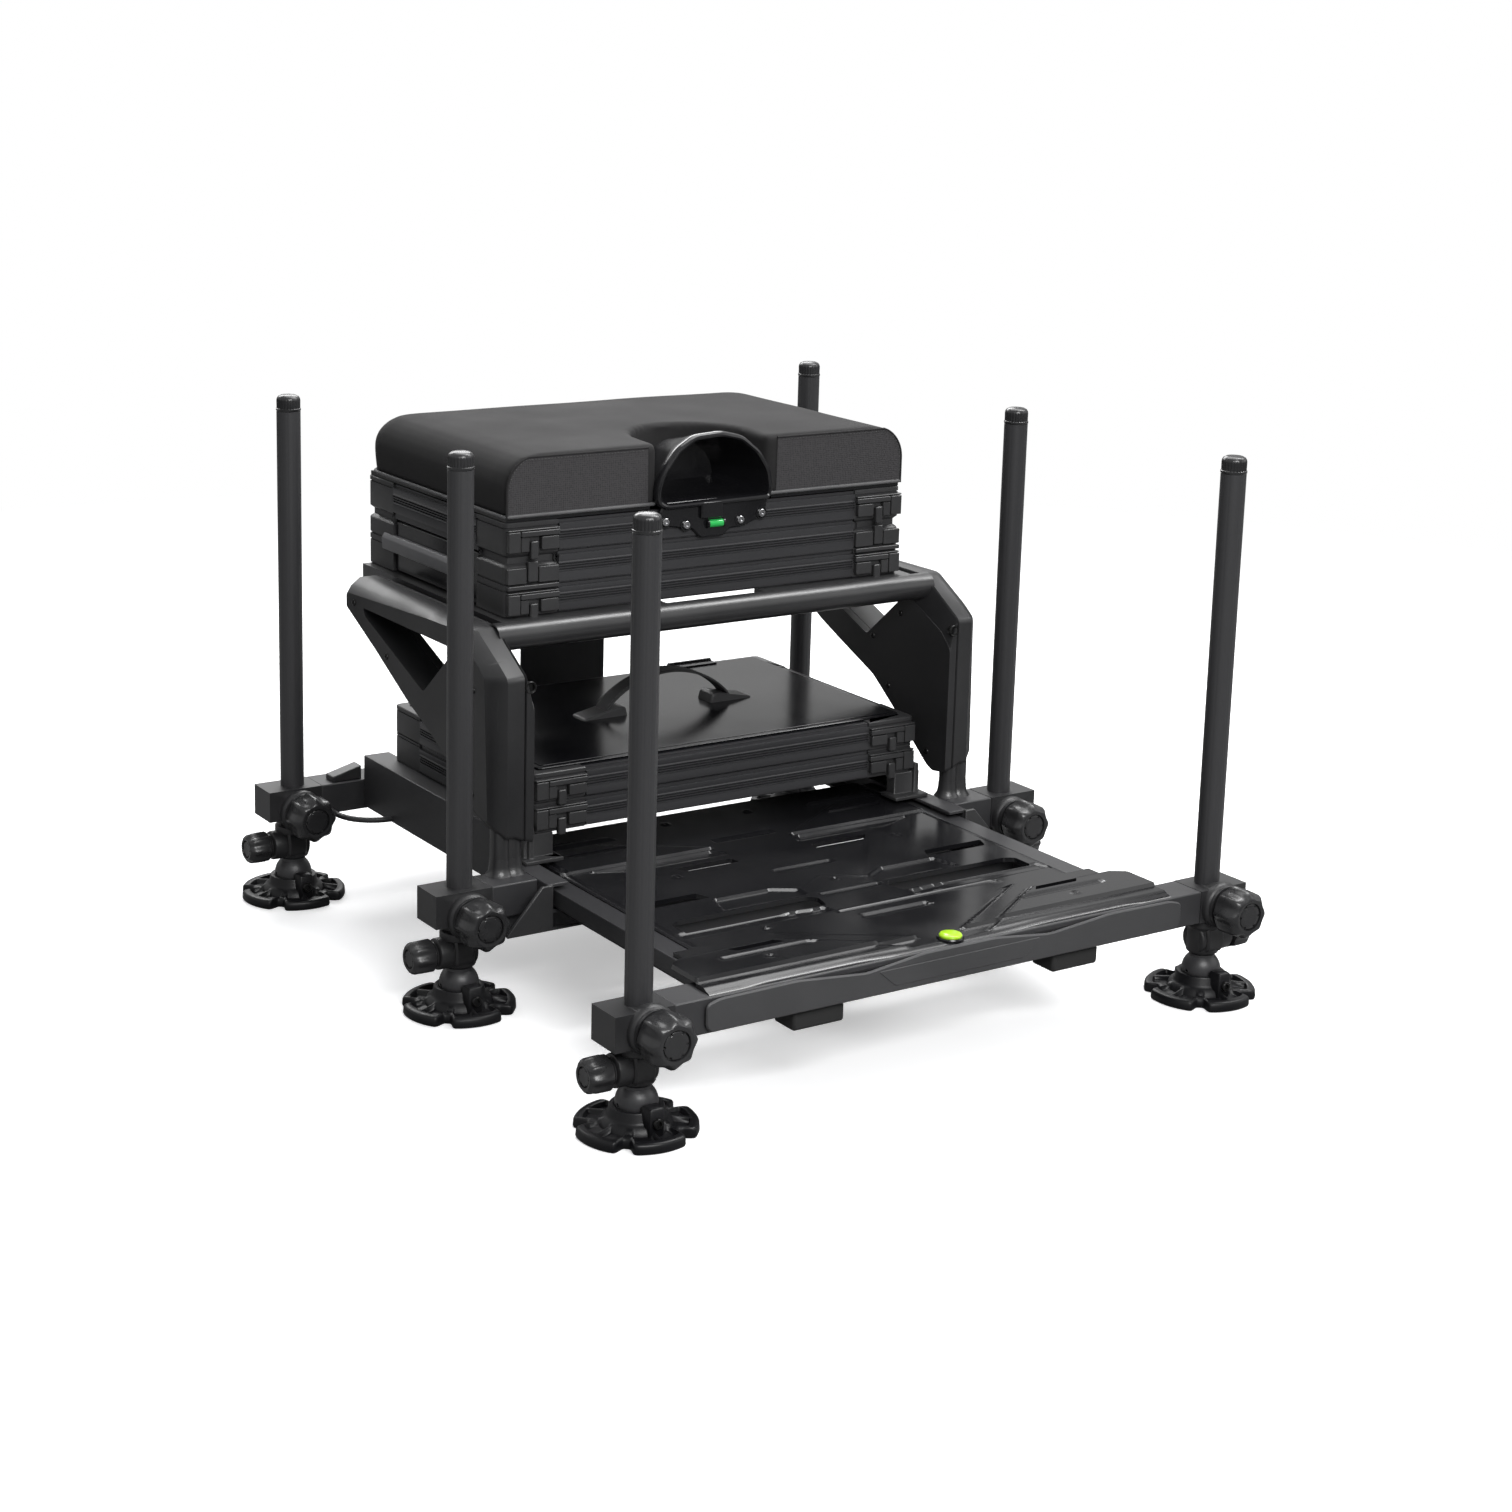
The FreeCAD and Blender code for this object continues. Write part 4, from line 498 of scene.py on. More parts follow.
def shade(mesh, sharp):
    """Smooth shading across edges up to an angle in degrees."""
    mesh.shade_smooth()
    mesh.set_sharp_from_angle(angle=math.radians(sharp))


def tidy_mesh(mesh, join=False, sharp=32):
    """Merged doubles, flat faces joined if asked, normals outwards and shading smooth up to an angle."""
    work = bmesh.new()
    work.from_mesh(mesh)
    bmesh.ops.remove_doubles(work, verts=work.verts, dist=1e-6)
    if join:
        bmesh.ops.dissolve_limit(work, angle_limit=math.radians(0.6), verts=work.verts, edges=work.edges)
    bmesh.ops.recalc_face_normals(work, faces=work.faces)
    work.to_mesh(mesh)
    work.free()
    shade(mesh, sharp)
    return mesh


# %% Objects and modifiers
BODY_OF = {node: body for body, nodes in RECORD["behaviour"]["bodies"].items() for node in nodes}


def add_object(name, mesh, body, replaces=()):
    """The object of a mesh: it rides on a body and may stand for CAD nodes."""
    item = bpy.data.objects.new(name, mesh)
    bpy.context.scene.collection.objects.link(item)
    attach(item, body)
    if replaces:
        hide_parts(*replaces)
    print(name, len(mesh.polygons), "faces")
    return item


def piece(name, parts, body, replaces=(), sharp=32):
    """One new object from (form, finish) pairs."""
    return add_object(name, tidy_mesh(mesh_from(name, parts), sharp=sharp), body, replaces)


def round_edges(item, width, angle):
    """A small bevel, its width in millimetres, on the edges sharper than an angle in degrees."""
    bevel = item.modifiers.new("edges", "BEVEL")
    bevel.width, bevel.segments = width * 0.001, 2
    bevel.limit_method, bevel.angle_limit = "ANGLE", math.radians(angle)
    bevel.harden_normals = False


def keep_modified(item):
    """Makes what the modifiers show the object's own mesh, and removes them."""
    seen = item.evaluated_get(bpy.context.evaluated_depsgraph_get())
    item.data = bpy.data.meshes.new_from_object(seen)
    item.modifiers.clear()
    return item.data


def softened(node, width, material):
    """A copy of a CAD node with its flat faces joined and its edges rounded, so that they catch the light."""
    mesh = tidy_mesh(NODES[node].data.copy(), join=True)
    mesh.materials.clear()
    mesh.materials.append(material)
    round_edges(add_object(node + "_edges", mesh, BODY_OF[node], (node,)), width, 35)

# %% [markdown]
# ## Legs and their collars
# The legs are drawn tubes with fine lines down them, a glossy ribbed cap on top and a cast collar at
# the foot. A lathe with a ripple on its rings gives the lines and the ribs. The collar is a ring, a
# drum across it that holds the small knob, and a flange where the clamp rests.

# %% Leg tubes, caps and collars
# Name, place across, place along and side of each leg.
LEGS = [(f"{row}_{name}", side * 331.0, y, side)
        for row, y in (("rear", 363.0), ("mid", -22.0), ("front", -353.0)) for name, side in SIDES]


def ripple(points, count, depth, power):
    """A ring of narrow dents: 1 minus depth times a cosine of count waves raised to a power."""
    angle = np.linspace(0, 2 * np.pi, points, endpoint=False)
    return 1 - depth * ((1 + np.cos(count * angle)) / 2) ** power


def leg_forms(x, y, side):
    """The tube from its collar to the cap, the domed cap with its ribs, and the collar casting."""
    tube = lathe([11.5, 12.5, 12.5, 11.5], [70, 71, 530.5, 531.2], (x, y, 0), points=144,
                 lobes=ripple(144, 12, 0.012, 10)[None])
    ribs = np.ones((11, 96))
    ribs[4:7] = ripple(96, 24, 0.05, 2)
    cap = lathe([11.2, 12.5, 12.9, 12.9, 12.3, 12.3, 12.4, 12.0, 10.8, 8.0, 3.0],
                [530.8, 531, 531.6, 533.4, 534, 535, 542, 544, 546, 547.4, 548],
                (x, y, 0), points=96, lobes=ribs)
    ring = lathe([13.5, 15.8, 16.5, 16.5, 17.2, 19, 19, 18.2, 13.2, 12.6],
                 [46, 46.2, 47.5, 70, 72.5, 74, 80, 81, 81, 79], (x, y, 0), points=72)
    drum = lathe([13.5, 15.0, 15.5, 15.5, 14.9, 14.9, 15.5, 15.5, 15.2, 13.6],
                 side * np.array([-14.0, -13.2, -12, 9, 9.5, 10.5, 11, 24, 25.4, 26.6]), (x, y, 60), "x", 72)
    saddle = slab(rounded([(-16, 47), (16, 47), (19, 60), (16, 76), (-16, 76), (-19, 60)], 6, 5) + (y, 0),
                  *sorted((x - side * 9, x + side * 12)), 2.0, "x")
    return tube, cap, ring, drum, saddle


for spot, x, y, side in LEGS:
    tube, cap, *casting = leg_forms(x, y, side)
    parts = [(tube, leg_anodised), (cap, knob_gloss)] + [(form, cast_black) for form in casting]
    piece(f"leg_tube_{spot}", parts, f"leg_{spot}", (f"leg_{spot}",), sharp=40)

# %% [markdown]
# ## Mud feet
# A mud foot is a round moulding with a thick rim broken by notches, sunken pockets between ribs, a cup
# round the ball and a bolt through a lug. Its outline is a circle less a smooth bump at each notch, and
# its section goes up the rim, down into the pocket and up the cup.

# %% Feet
NOTCHES, RIBS = 5, 10
FOOT_TURN = math.radians(12)
FOOT_RADIUS, NOTCH_DEPTH, RIB_HEIGHT = 55.5, 12, 5.0
# The section inwards: radius (zero or less counts from the edge), height, share of the ribs' height.
FOOT_SECTION = np.array([
    (-3, 0, 0), (-0.8, 0.6, 0), (0, 2.4, 0), (-0.4, 8.0, 0), (-1.8, 9.8, 0), (-3.2, 10.2, 0), (-7.0, 10.8, 0),
    (-8.2, 10.2, 0), (-9.4, 5.4, 1), (33, 7.2, 1), (31, 12.8, 0), (27.4, 14.6, 0), (25.6, 17, 0),
    (24.6, 23.6, 0), (23.8, 24.8, 0), (21, 25, 0), (19.9, 24.6, 0), (17.5, 17.4, 0), (9, 9.2, 0)])


def nearest(angle, count):
    """The signed angle to the nearest of count equal places round a circle."""
    half = np.pi / count
    return (angle + half) % (2 * half) - half


def foot_forms(x, y):
    """The edge is a circle less a rounded step at each notch; a rib is exp(-d^4) of the angle d to it."""
    angle = np.linspace(0, 2 * np.pi, 360, endpoint=False)
    notch = 1 / (1 + np.exp((np.abs(nearest(angle - FOOT_TURN, NOTCHES)) * 50 - 6.0) / 0.9))
    rib = np.exp(-(nearest(angle - FOOT_TURN, RIBS) * 42 / 2.4) ** 4)
    edge = FOOT_RADIUS - NOTCH_DEPTH * notch
    radius, height, share = FOOT_SECTION.T[:, :, None]
    r = np.where(radius <= 0, edge + radius, radius)
    z = height + share * RIB_HEIGHT * np.maximum(rib, notch ** 2)
    body = stack(np.stack([x + r * np.cos(angle), y + r * np.sin(angle), z], -1))
    lug = slab(rounded([(-7.5, -35), (7.5, -35), (8.5, -20), (-8.5, -20)], 2.5) + (x, y), 5.5, 32, 1.6)
    bolt = lathe([4.6, 5, 5, 4.4, 2.7, 2.5, 2.4], -np.array([34, 34.6, 37.6, 38.2, 38.2, 36.5, 36.0]),
                 (x, y, 19), "y", 24)
    return body, lug, bolt


for spot, x, y, side in LEGS:
    body, lug, bolt = foot_forms(x, y)
    parts = [(body, foot_moulding), (lug, foot_moulding), (bolt, bolt_black)]
    piece(f"foot_{spot}", parts, f"mud_foot_{spot}", (f"mud_foot_{spot}",), sharp=45)

# %% [markdown]
# ## Hand knobs
# The knobs are glossy mouldings with eight scooped sides, a bevelled front and a sunken round face
# with six small notches. The ring's radius follows a power of a cosine between the lobes, so the
# lobes stay broad and the scoops come out as flats.

# %% Knobs
HEAD_RADII = np.array([0.74, 0.8, 0.93, 1, 1.0, 0.985, 0.93, 0.8, 0.7, 0.66, 0.56, 0.54])
HEAD_LEVELS = np.array([0.1, 0.12, 0.15, 0.22, 0.5, 0.76, 0.86, 0.965, 1.0, 1.0, 0.985, 0.90])
SCOOP_SHARE = np.array([0, 0, 0.4, 0.8, 1, 1, 1, 0.7, 0.1, 0, 0, 0])
FACE_RADII = np.array([0.5, 0.5, 0.5, 0.47, 0.3, 0.05])
FACE_LEVELS = np.array([0.88, 0.9, 0.955, 0.97, 0.965, 0.96])
SCOOP_DEPTH, NOTCH_SHARE = 0.11, 0.13


def knob_forms(radius, tall, ring, seat, axis, direction):
    """Head rings are circles less a share of the scoops' depth times ((1 - cos 8a) / 2)^0.8 at an angle a."""
    angle = np.linspace(0, 2 * np.pi, 192, endpoint=False)
    scoop = ((1 + np.cos(8 * angle + np.pi)) / 2) ** 0.8
    lobes = 1 - SCOOP_DEPTH * SCOOP_SHARE[:, None] * scoop
    head = lathe(radius * HEAD_RADII, direction * tall * HEAD_LEVELS, seat, axis, 192, lobes)
    notches = np.ones((6, 96))
    notches[1:4] = 1 - NOTCH_SHARE * (np.cos(6 * angle[::2]) > 0.8)
    face = lathe(radius * FACE_RADII, direction * tall * FACE_LEVELS, seat, axis, 96, notches)
    collar = lathe(ring * np.array([0.9, 1, 1, 0.94, 0.94, 1, 1, 0.92]),
                   direction * np.array([0.1, 0.5, 1.6, 1.9, 2.3, 2.6, 3.6, 4.2]), seat, axis, 72)
    return head, face, collar


for spot, x, y, side in LEGS:
    clamp, foot = f"clamp_knob_{spot}", f"foot_knob_{spot}"
    big = knob_forms(25, 33, 18.5, (x, y - 31.4, 100), "y", -1)
    piece(f"big_knob_{spot}", [(form, knob_gloss) for form in big], clamp, (clamp,), sharp=38)
    small = knob_forms(17, 27, 12.8, (x + side * 27.4, y, 60), "x", side)
    piece(f"small_knob_{spot}", [(form, knob_gloss) for form in small], foot, (foot,),
          sharp=38)
    boss = lathe([22.5, 23.4, 23.4, 22.2, 19.8, 19.2], -np.array([19.0, 19.4, 24.6, 26.6, 28.4, 30.6]),
                 (x, y, 100), "y", 72)
    carrier = "footplate" if "front" in spot else "frame"
    piece(f"clamp_boss_{spot}", [(boss, cast_black)], carrier, sharp=40)

# %% [markdown]
# ## Welds
# Each seat post is a tube with two lobes, welded to the middle arm. The weld round each lobe is a
# short lathed form, broad at its foot and as wide as the post at its top.

# %% Welds at the posts' feet
POST_X, POST_Y, LOBE_X = 275, -11, 6.5
welds = [lathe([14.2, 13.2, 11.2, 10.2, 9.7], [125.1, 126.4, 129.2, 134.5, 142],
               (side * POST_X + lobe, POST_Y, 0), points=40) for side in (-1, 1) for lobe in (-LOBE_X, LOBE_X)]
piece("post_welds", [(form, tube_paint) for form in welds], "frame", sharp=50)

# %% [markdown]
# ## Tray panels
# Each unit has moulded corner blocks joined by extruded panels. An extrusion is one section carried
# along a line: two slanted bands with fine grooves between them and a deep step where the next unit
# starts. The drawer takes the place of two panels on the left.

# %% Extruded panels
UPPER_BOX, LOWER_BOX = (240.5, 57, 362), (234, 8, 313)  # half width, front and rear
UPPER_BANDS = ((362.6, 391.5), (392.2, 424.4), (425.2, 456.4))
LOWER_BANDS = ((153.2, 182.9), (183.6, 213.4))
DRAWER_LOW, DRAWER_HIGH = 364, 416
PANEL_END, PANEL_BACK, PANEL_THICK = 60.4, 2.4, 3.4


def extrusion_section(low, high):
    """A closed section (depth, height): two slanted bands, three grooves between them, a deep step on top."""
    middle, thick = (low + high) / 2, PANEL_THICK
    foot = [(0, low), (thick - 1.9, low), (thick - 1.9, low + 0.8), (thick - 0.2, low + 1.4),
            (thick, low + 2.6), (thick - 1.0, middle - 5.2), (thick - 0.4, middle - 4.2)]
    depths = np.array([thick - 0.4, thick - 2.5, thick - 2.5, thick - 0.4])
    heights = middle + np.array([[-2.6], [0], [2.6]]) + [-0.85, -0.45, 0.45, 0.85]
    grooves = np.stack([0 * heights + depths, heights], -1).reshape(-1, 2)
    head = [(thick - 0.4, middle + 4.2), (thick - 1.0, middle + 5.2), (thick, high - 4.8),
            (thick - 0.2, high - 3.8), (thick - 3.1, high - 3.5), (thick - 3.1, high - 0.5),
            (thick - 2.6, high), (0, high)]
    return np.concatenate([foot, grooves, head])


def panel(section, first, last, face, axis, outwards):
    """A section carried from first to last; its depth grows from face, outwards along the other level axis."""
    depth, height = face + outwards * section[:, 0], section[:, 1]
    ends = []
    for place in (first, last):
        along = 0 * depth + place
        ends.append(np.stack([along, depth, height] if axis == "x" else [depth, along, height], -1))
    return stack(ends)


def box_panels(box, bands, drawer_side=False):
    """Skins on the four walls of a unit, one for each band of heights."""
    half, front, rear = box
    forms = []
    for low, high in bands:
        section = extrusion_section(low, high)
        forms.append(panel(section, PANEL_END - half, half - PANEL_END, front + PANEL_BACK, "x", -1))
        forms.append(panel(section, PANEL_END - half, half - PANEL_END, rear - PANEL_BACK, "x", 1))
        for name, side in SIDES:
            if not (drawer_side and side < 0 and low < DRAWER_HIGH):
                wall = side * (half - PANEL_BACK)
                forms.append(panel(section, front + PANEL_END, rear - PANEL_END, wall, "y", side))
    return forms


upper = [(form, tray_extrusion) for form in box_panels(UPPER_BOX, UPPER_BANDS, True)]
piece("upper_panels", upper, "frame", sharp=25)
lower = [(form, tray_extrusion) for form in box_panels(LOWER_BOX, LOWER_BANDS)]
piece("lower_panels", lower, "frame", sharp=25)

# %% [markdown]
# ## Drawer front
# The side drawer has a grey pull bar along its foot and a plain glossy face. The bar is one section
# at four places along the box, drawn in at both ends so that it tapers into the drawer.

# %% Drawer front
pull_path = rounded([(-236, 382), (-243.6, 384), (-244.4, 396), (-241, 401), (-236, 401)], 1.2, 4)
pull = stack([lift(pull_path, 0, "y") + (tip, y, 0) for y, tip in ((132, 7), (140, 0), (322, 0), (330, 7))])
drawer_face = slab(oblong(118, 301, DRAWER_LOW, DRAWER_HIGH, 3), -237.2, -235.9, 0.6, "x")
piece("drawer_front", [(pull, pull_grey), (drawer_face, deck_gloss)], "drawer", sharp=30)

# %% [markdown]
# ## Corner blocks and clips
# The corner blocks are L-shaped outlines carried upwards, set back a little at the undercuts and at
# the joint between two units. On the front ones sit raised pads and the hooked clips that lock the
# units together, each built from small slabs at the heights read from the photograph.

# %% Corner blocks
# Height and set-back of each ring, from the foot of the lowest unit to the top of the highest.
UPPER_LEVELS = ((362, 1), (362.8, 0.2), (387.4, 0.2), (387.8, 1.4), (388.8, 1.4), (389.2, 0.05),
                (394.2, 0.05), (394.6, 1.8), (396.0, 1.8), (396.4, 0.2), (412, 0.2), (413.4, 1.4),
                (415.4, 4.6), (421.4, 4.6), (424.6, 0.4), (425, 0.2), (450.6, 0.2), (451, 1.4), (452, 1.4),
                (452.4, 0.05), (456, 0.05), (457, 0.9))
LOWER_LEVELS = ((152.5, 1), (153.3, 0.2), (179.6, 0.2), (180, 1.3), (180.9, 1.3), (181.3, 0.2), (182.9, 0.2),
                (183.3, 1.8), (184.1, 1.8), (184.5, 0.2), (208.2, 0.2), (208.6, 1.3), (209.4, 1.3),
                (209.8, 0.05), (213.2, 0.05), (214, 0.9))
# The pads on the upper blocks: from and to, counted inwards from the corner, low, high and depth.
PADS = ((24, 35, 397, 417, 4.2), (1.5, 22.6, 395.6, 411.5, 3.6), (36.4, 59, 395.6, 411.5, 3.6),
        (1.5, 59, 389.6, 393.8, 4.4))


def corner_block(half, face, side, ahead, levels):
    """An L-shaped outline, 60 mm along both walls and 12 mm thick, carried up and set back at each level."""
    corners = [(half - 60, 0), (half, 0), (half, 60), (half - 12, 60), (half - 12, 12), (half - 60, 12)]
    outline = rounded(corners, [0.8, 7, 0.8, 0.8, 1.5, 0.8], 6) * (side, ahead) + (0, face)
    return stack([lift(inset(outline, back), height) for height, back in levels])


def corner_pads(half, front):
    """The raised pads on both front blocks, as slabs that stand out from the front face."""
    forms = []
    for name, side in SIDES:
        for start, end, low, high, deep in PADS:
            outline = oblong(*sorted((side * (half - start), side * (half - end))), low, high, 1.2)
            forms.append(slab(outline, front - deep, front + 0.6, 0.5, "y"))
    return forms


for name, box, levels in (("upper", UPPER_BOX, UPPER_LEVELS), ("lower", LOWER_BOX, LOWER_LEVELS)):
    half, front, rear = box
    forms = [corner_block(half, face, side, ahead, levels)
             for side in (-1, 1) for face, ahead in ((front, 1), (rear, -1))]
    if name == "upper":
        forms += corner_pads(half, front)
    piece(f"{name}_corner_blocks", [(form, moulded_satin) for form in forms], "frame", (f"{name}_box_corners",),
          sharp=30)

# %% Latch plates
def latch_forms(edge, side, face, low, high):
    """A hooked clip: end block, bar over the top, two inner blocks, hanging tab, rim and back plate."""
    tall = high - low

    def block(u0, u1, v0, v1, thick, radius=1.0, bevel=0.5):
        """A slab from u0 to u1 inwards from the edge, from v0 to v1 above the foot, standing out by thick."""
        outline = oblong(*sorted((edge - side * u0, edge - side * u1)), low + v0, low + v1, radius)
        return slab(outline, face - thick, face + 0.4, bevel, "y")
    return [block(1.2, 14.6, 2.4, tall - 2.4, 5.2), block(15.4, 59, tall - 7.6, tall - 2.4, 5.2),
            block(15.4, 24.6, 2.4, tall - 8.4, 4.6), block(38, 58, 3.4, tall - 8.8, 5.2, 1.8),
            block(26, 34.6, -5.5, tall - 12.6, 5.6, 2.2, 0.9), block(1.0, 59, tall - 1.8, tall - 0.2, 4.4),
            block(25.6, 37.4, 0.4, tall - 8, 0.5)]


CLIPS = ((240.2, 57.0, (362.6, 387.4)), (240.2, 57.0, (425.2, 450.4)),
         (233.6, 8.0, (155.0, 179.4)), (233.6, 8.0, (185.6, 208.2)))
latches = [form for name, side in SIDES for edge, face, span in CLIPS
           for form in latch_forms(side * edge, side, face, *span)]
piece("latch_clips", [(form, moulded_satin) for form in latches], "frame", ("latch_plates",))

# %% [markdown]
# ## Cushion
# The seat is a firm foam block in dark cloth. Its top edge is crisp at the front and rounded at the
# sides, and a U-shaped scoop is cut into its front for the rod guide. The outline, scoop included, is
# carried upwards and drawn in more at the sides than at the front. It is then meshed evenly, and its
# top is raised to a low dome with long shallow folds, as thick cloth over foam has.

# %% Cushion outline and rings
CUSHION_LOW, CUSHION_HIGH = 461.4, 523.6
SEAT_HALF, SEAT_FRONT, SEAT_REAR = 241, 57, 362
SCOOP_X, SCOOP_Y, SCOOP_RADIUS, LIP_RADIUS = -1, 92, 66, 7
FIRM_X, FIRM_Y = 150, 280  # the rounding of the sides and the rear starts here
SIDE_ROUND, REAR_ROUND, RIM_ROUND = 36, 26, 3.4


def cushion_outline():
    """The plan of the seat, anticlockwise from the scoop's left lip: a U-shaped scoop and rounded corners."""
    bend, quarter = np.linspace(np.pi, 0, 25), np.linspace(np.pi / 2, 0, 7)
    scoop = (SCOOP_X, SCOOP_Y) + SCOOP_RADIUS * np.stack([np.cos(bend), 0.98 * np.sin(bend)], -1)
    left_lip = (-74, SEAT_FRONT) + LIP_RADIUS * np.stack([np.cos(quarter), 1 - np.sin(quarter)], -1)
    right_lip = left_lip[::-1] * (-1, 1) + (2 * SCOOP_X, 0)
    around = rounded([(SEAT_HALF, SEAT_FRONT), (SEAT_HALF, SEAT_REAR), (-SEAT_HALF, SEAT_REAR),
                      (-SEAT_HALF, SEAT_FRONT)], [7, 30, 30, 7], 10)
    return np.concatenate([left_lip, scoop, right_lip, around])


def drawn_in(radius, left):
    """How far a quarter circle has come in where left is the height that remains to its top."""
    return radius - np.sqrt(radius ** 2 - np.maximum(radius - left, 0) ** 2)


def cushion_rings():
    """Rings of the outline from the foot up, drawn in by quarter circles at the sides, the rear and the rim."""
    outline = cushion_outline()
    side, rear = np.abs(outline[:, 0]), outline[:, 1]
    wide, deep = SEAT_HALF - FIRM_X, SEAT_REAR - FIRM_Y
    rings = []
    for height in np.concatenate([np.linspace(0, 26, 6), np.linspace(30, CUSHION_HIGH - CUSHION_LOW, 16)]):
        left = CUSHION_HIGH - CUSHION_LOW - height
        at_side = drawn_in(SIDE_ROUND, left) + 1.6 * (1 - height / 62) ** 3
        at_rear = drawn_in(REAR_ROUND, left)
        x = np.minimum(side, FIRM_X) + np.maximum(side - FIRM_X, 0) * (wide - at_side) / wide
        y = np.minimum(rear, FIRM_Y) + np.maximum(rear - FIRM_Y, 0) * (deep - at_rear) / deep
        ring = np.stack([x * np.sign(outline[:, 0]), y], -1)
        rings.append(lift(inset(ring, drawn_in(RIM_ROUND, left)), CUSHION_LOW + height))
    return np.stack(rings)


# %% Cushion
VOXEL = 0.004


def plumped(item):
    """Meshes the cushion evenly and lifts its top: a dome that is a product of two parabolas times the share
    of the height to the fourth, folds that are a product of two sines, and sides that swell by half a sine."""
    even = item.modifiers.new("even", "REMESH")
    even.mode, even.voxel_size = "VOXEL", VOXEL
    shaped = keep_modified(item)
    spots = np.empty(len(shaped.vertices) * 3)
    shaped.vertices.foreach_get("co", spots)
    spots = spots.reshape(-1, 3)
    x, y, z = (spots * 1000).T
    height = (z - CUSHION_LOW) / (CUSHION_HIGH - CUSHION_LOW)
    middle = np.clip(1 - (x / 225) ** 2, 0, 1) * np.clip(1 - ((y - 205) / 148) ** 2, 0, 1)
    dome = 3.4 * middle * height ** 4
    waves = np.sin(x / 31 + 1.7 * np.sin(y / 60)) * np.sin(y / 47 + x / 140)
    folds = 0.35 * waves * np.clip((y - 62) / 20, 0, 1)
    swell = 1.6 * np.sin(np.pi * np.clip(height, 0, 1)) * (np.abs(x) > 200) * np.clip((y - 60) / 25, 0, 1)
    spots[:, 0] += 0.001 * swell * np.sign(x)
    spots[:, 2] += 0.001 * (dome + folds * height ** 2)
    shaped.vertices.foreach_set("co", spots.ravel())
    shaped.materials.clear()
    shaped.materials.append(seat_cloth)
    shaped.shade_smooth()
    rounder = item.modifiers.new("rounder", "SUBSURF")
    rounder.levels = rounder.render_levels = 1


cushion = piece("cushion", [(stack(cushion_rings()), seat_cloth)], "seat", ("seat_cushion",),
                sharp=80)
plumped(cushion)
print("cushion meshed to", len(cushion.data.polygons), "faces")

# %% [markdown]
# ## Piping and front panels
# A grey bead is sewn round the cushion's foot. At the front, two panels of open mesh are let into the
# cloth, each with a rolled seam round it and a line of stitches inside the seam. A panel's edge
# follows the same quarter circle as the cushion's side, so it stays inside the block.

# %% Front panels and stitches
def front_border(side, drawn):
    """The edge of a front panel as (x, z), up the cushion's side and down by the scoop, drawn in all round."""
    height = np.linspace(0, 60.5 - drawn, 30)
    at_side = drawn_in(34, CUSHION_HIGH - CUSHION_LOW - height - 1.0)
    out = np.stack([240.2 - at_side - drawn, CUSHION_LOW + height], -1)
    inner = np.array([(78 + 0.4 * drawn, CUSHION_LOW + 60.5 - drawn),
                      (77 + 0.4 * drawn, CUSHION_LOW + drawn * 0.5)])
    return np.concatenate([out, inner]) * (side, 1)


def dashes(path, face, long=1.9, gap=3.6, thick=0.42):
    """Short stitches along a path of (x, z) points on a plane across y, one at every gap of its length."""
    steps = np.concatenate([[0], np.cumsum(np.linalg.norm(np.diff(path, axis=0), axis=1))])
    starts = np.arange(2, steps[-1] - gap, gap)
    trio = [np.stack([np.interp(starts + d, steps, path[:, k]) for k in (0, 1)], -1)
            for d in (0, long / 2, long)]
    levels = np.array([face + 0.2, face - 0.2, face + 0.2])
    return [sweep(circle(thick, 5), lift(spots, levels, "y")) for spots in np.stack(trio, 1)]


panels = []
for name, side in SIDES:
    panels.append((slab(front_border(side, 1.6), 56.1, 58.0, 0.6, "y"), mesh_weave))
    seam = lift(front_border(side, 0.9)[:-1], 56.6, "y")
    panels.append((sweep(circle(1.15, 8), seam, (0, 1, 0)), seat_cloth))
    panels += [(form, thread_black) for form in dashes(front_border(side, 3.4)[:-1], 56.0)]

# %% Piping
bead_path = lift(inset(cushion_outline(), -0.4), CUSHION_LOW + 1.6)
along = unit(np.roll(bead_path, -1, 0) - np.roll(bead_path, 1, 0))
across = unit(np.cross(along, (0, 0, 1)))
ring = circle(1.9, 10)[None]
bead = bead_path[:, None] + ring[..., :1] * across[:, None] + ring[..., 1:] * np.array([0, 0, 1.0])
bead = np.concatenate([bead, bead[:1]])
piece("cushion_piping", [(skin(bead), piping_grey)] + panels, "seat", sharp=30)

# %% [markdown]
# ## Hood
# The hood is a glossy funnel with a broad rolled lip, held to the front of the seat tray by an apron
# with four bright screws in round recesses and a green tube level below a raised tab.

# %% Hood
HOOD_OUTER = rounded([(-60, 456), (-71.5, 463), (-72.5, 478), (-66, 496), (-48, 519), (-27, 531.5), (5, 533.5),
                      (31, 527.5), (53, 511), (67, 490), (70, 470), (67, 458)], 6.5, 5)
HOOD_MIDDLE = np.array([0, 488.0])
# Place along the hood, inset and share of shrinking of each ring: outside, round the lip, inside.
HOOD_RINGS = ((128, 0.5, 0.40), (110, 0.5, 0.31), (88, 0.5, 0.19), (66, 0.3, 0.06), (55, 0, 0),
              (51, 0.2, 0), (48.8, 1.4, 0), (48.2, 3.4, 0), (49.2, 5.2, 0), (52, 6.2, 0),
              (66, 6.6, 0.06), (88, 6.6, 0.19), (110, 6.6, 0.30), (122, 6.6, 0.36))
APRON = ((-61, 463), (-66, 452), (-58, 439), (-26, 434), (-17, 424), (12, 424), (20, 431), (36, 431.5),
         (62, 441), (66, 456), (62, 464))
HOOD_SCREWS = ((-59, 444), (-34, 439), (32, 439), (58, 444))


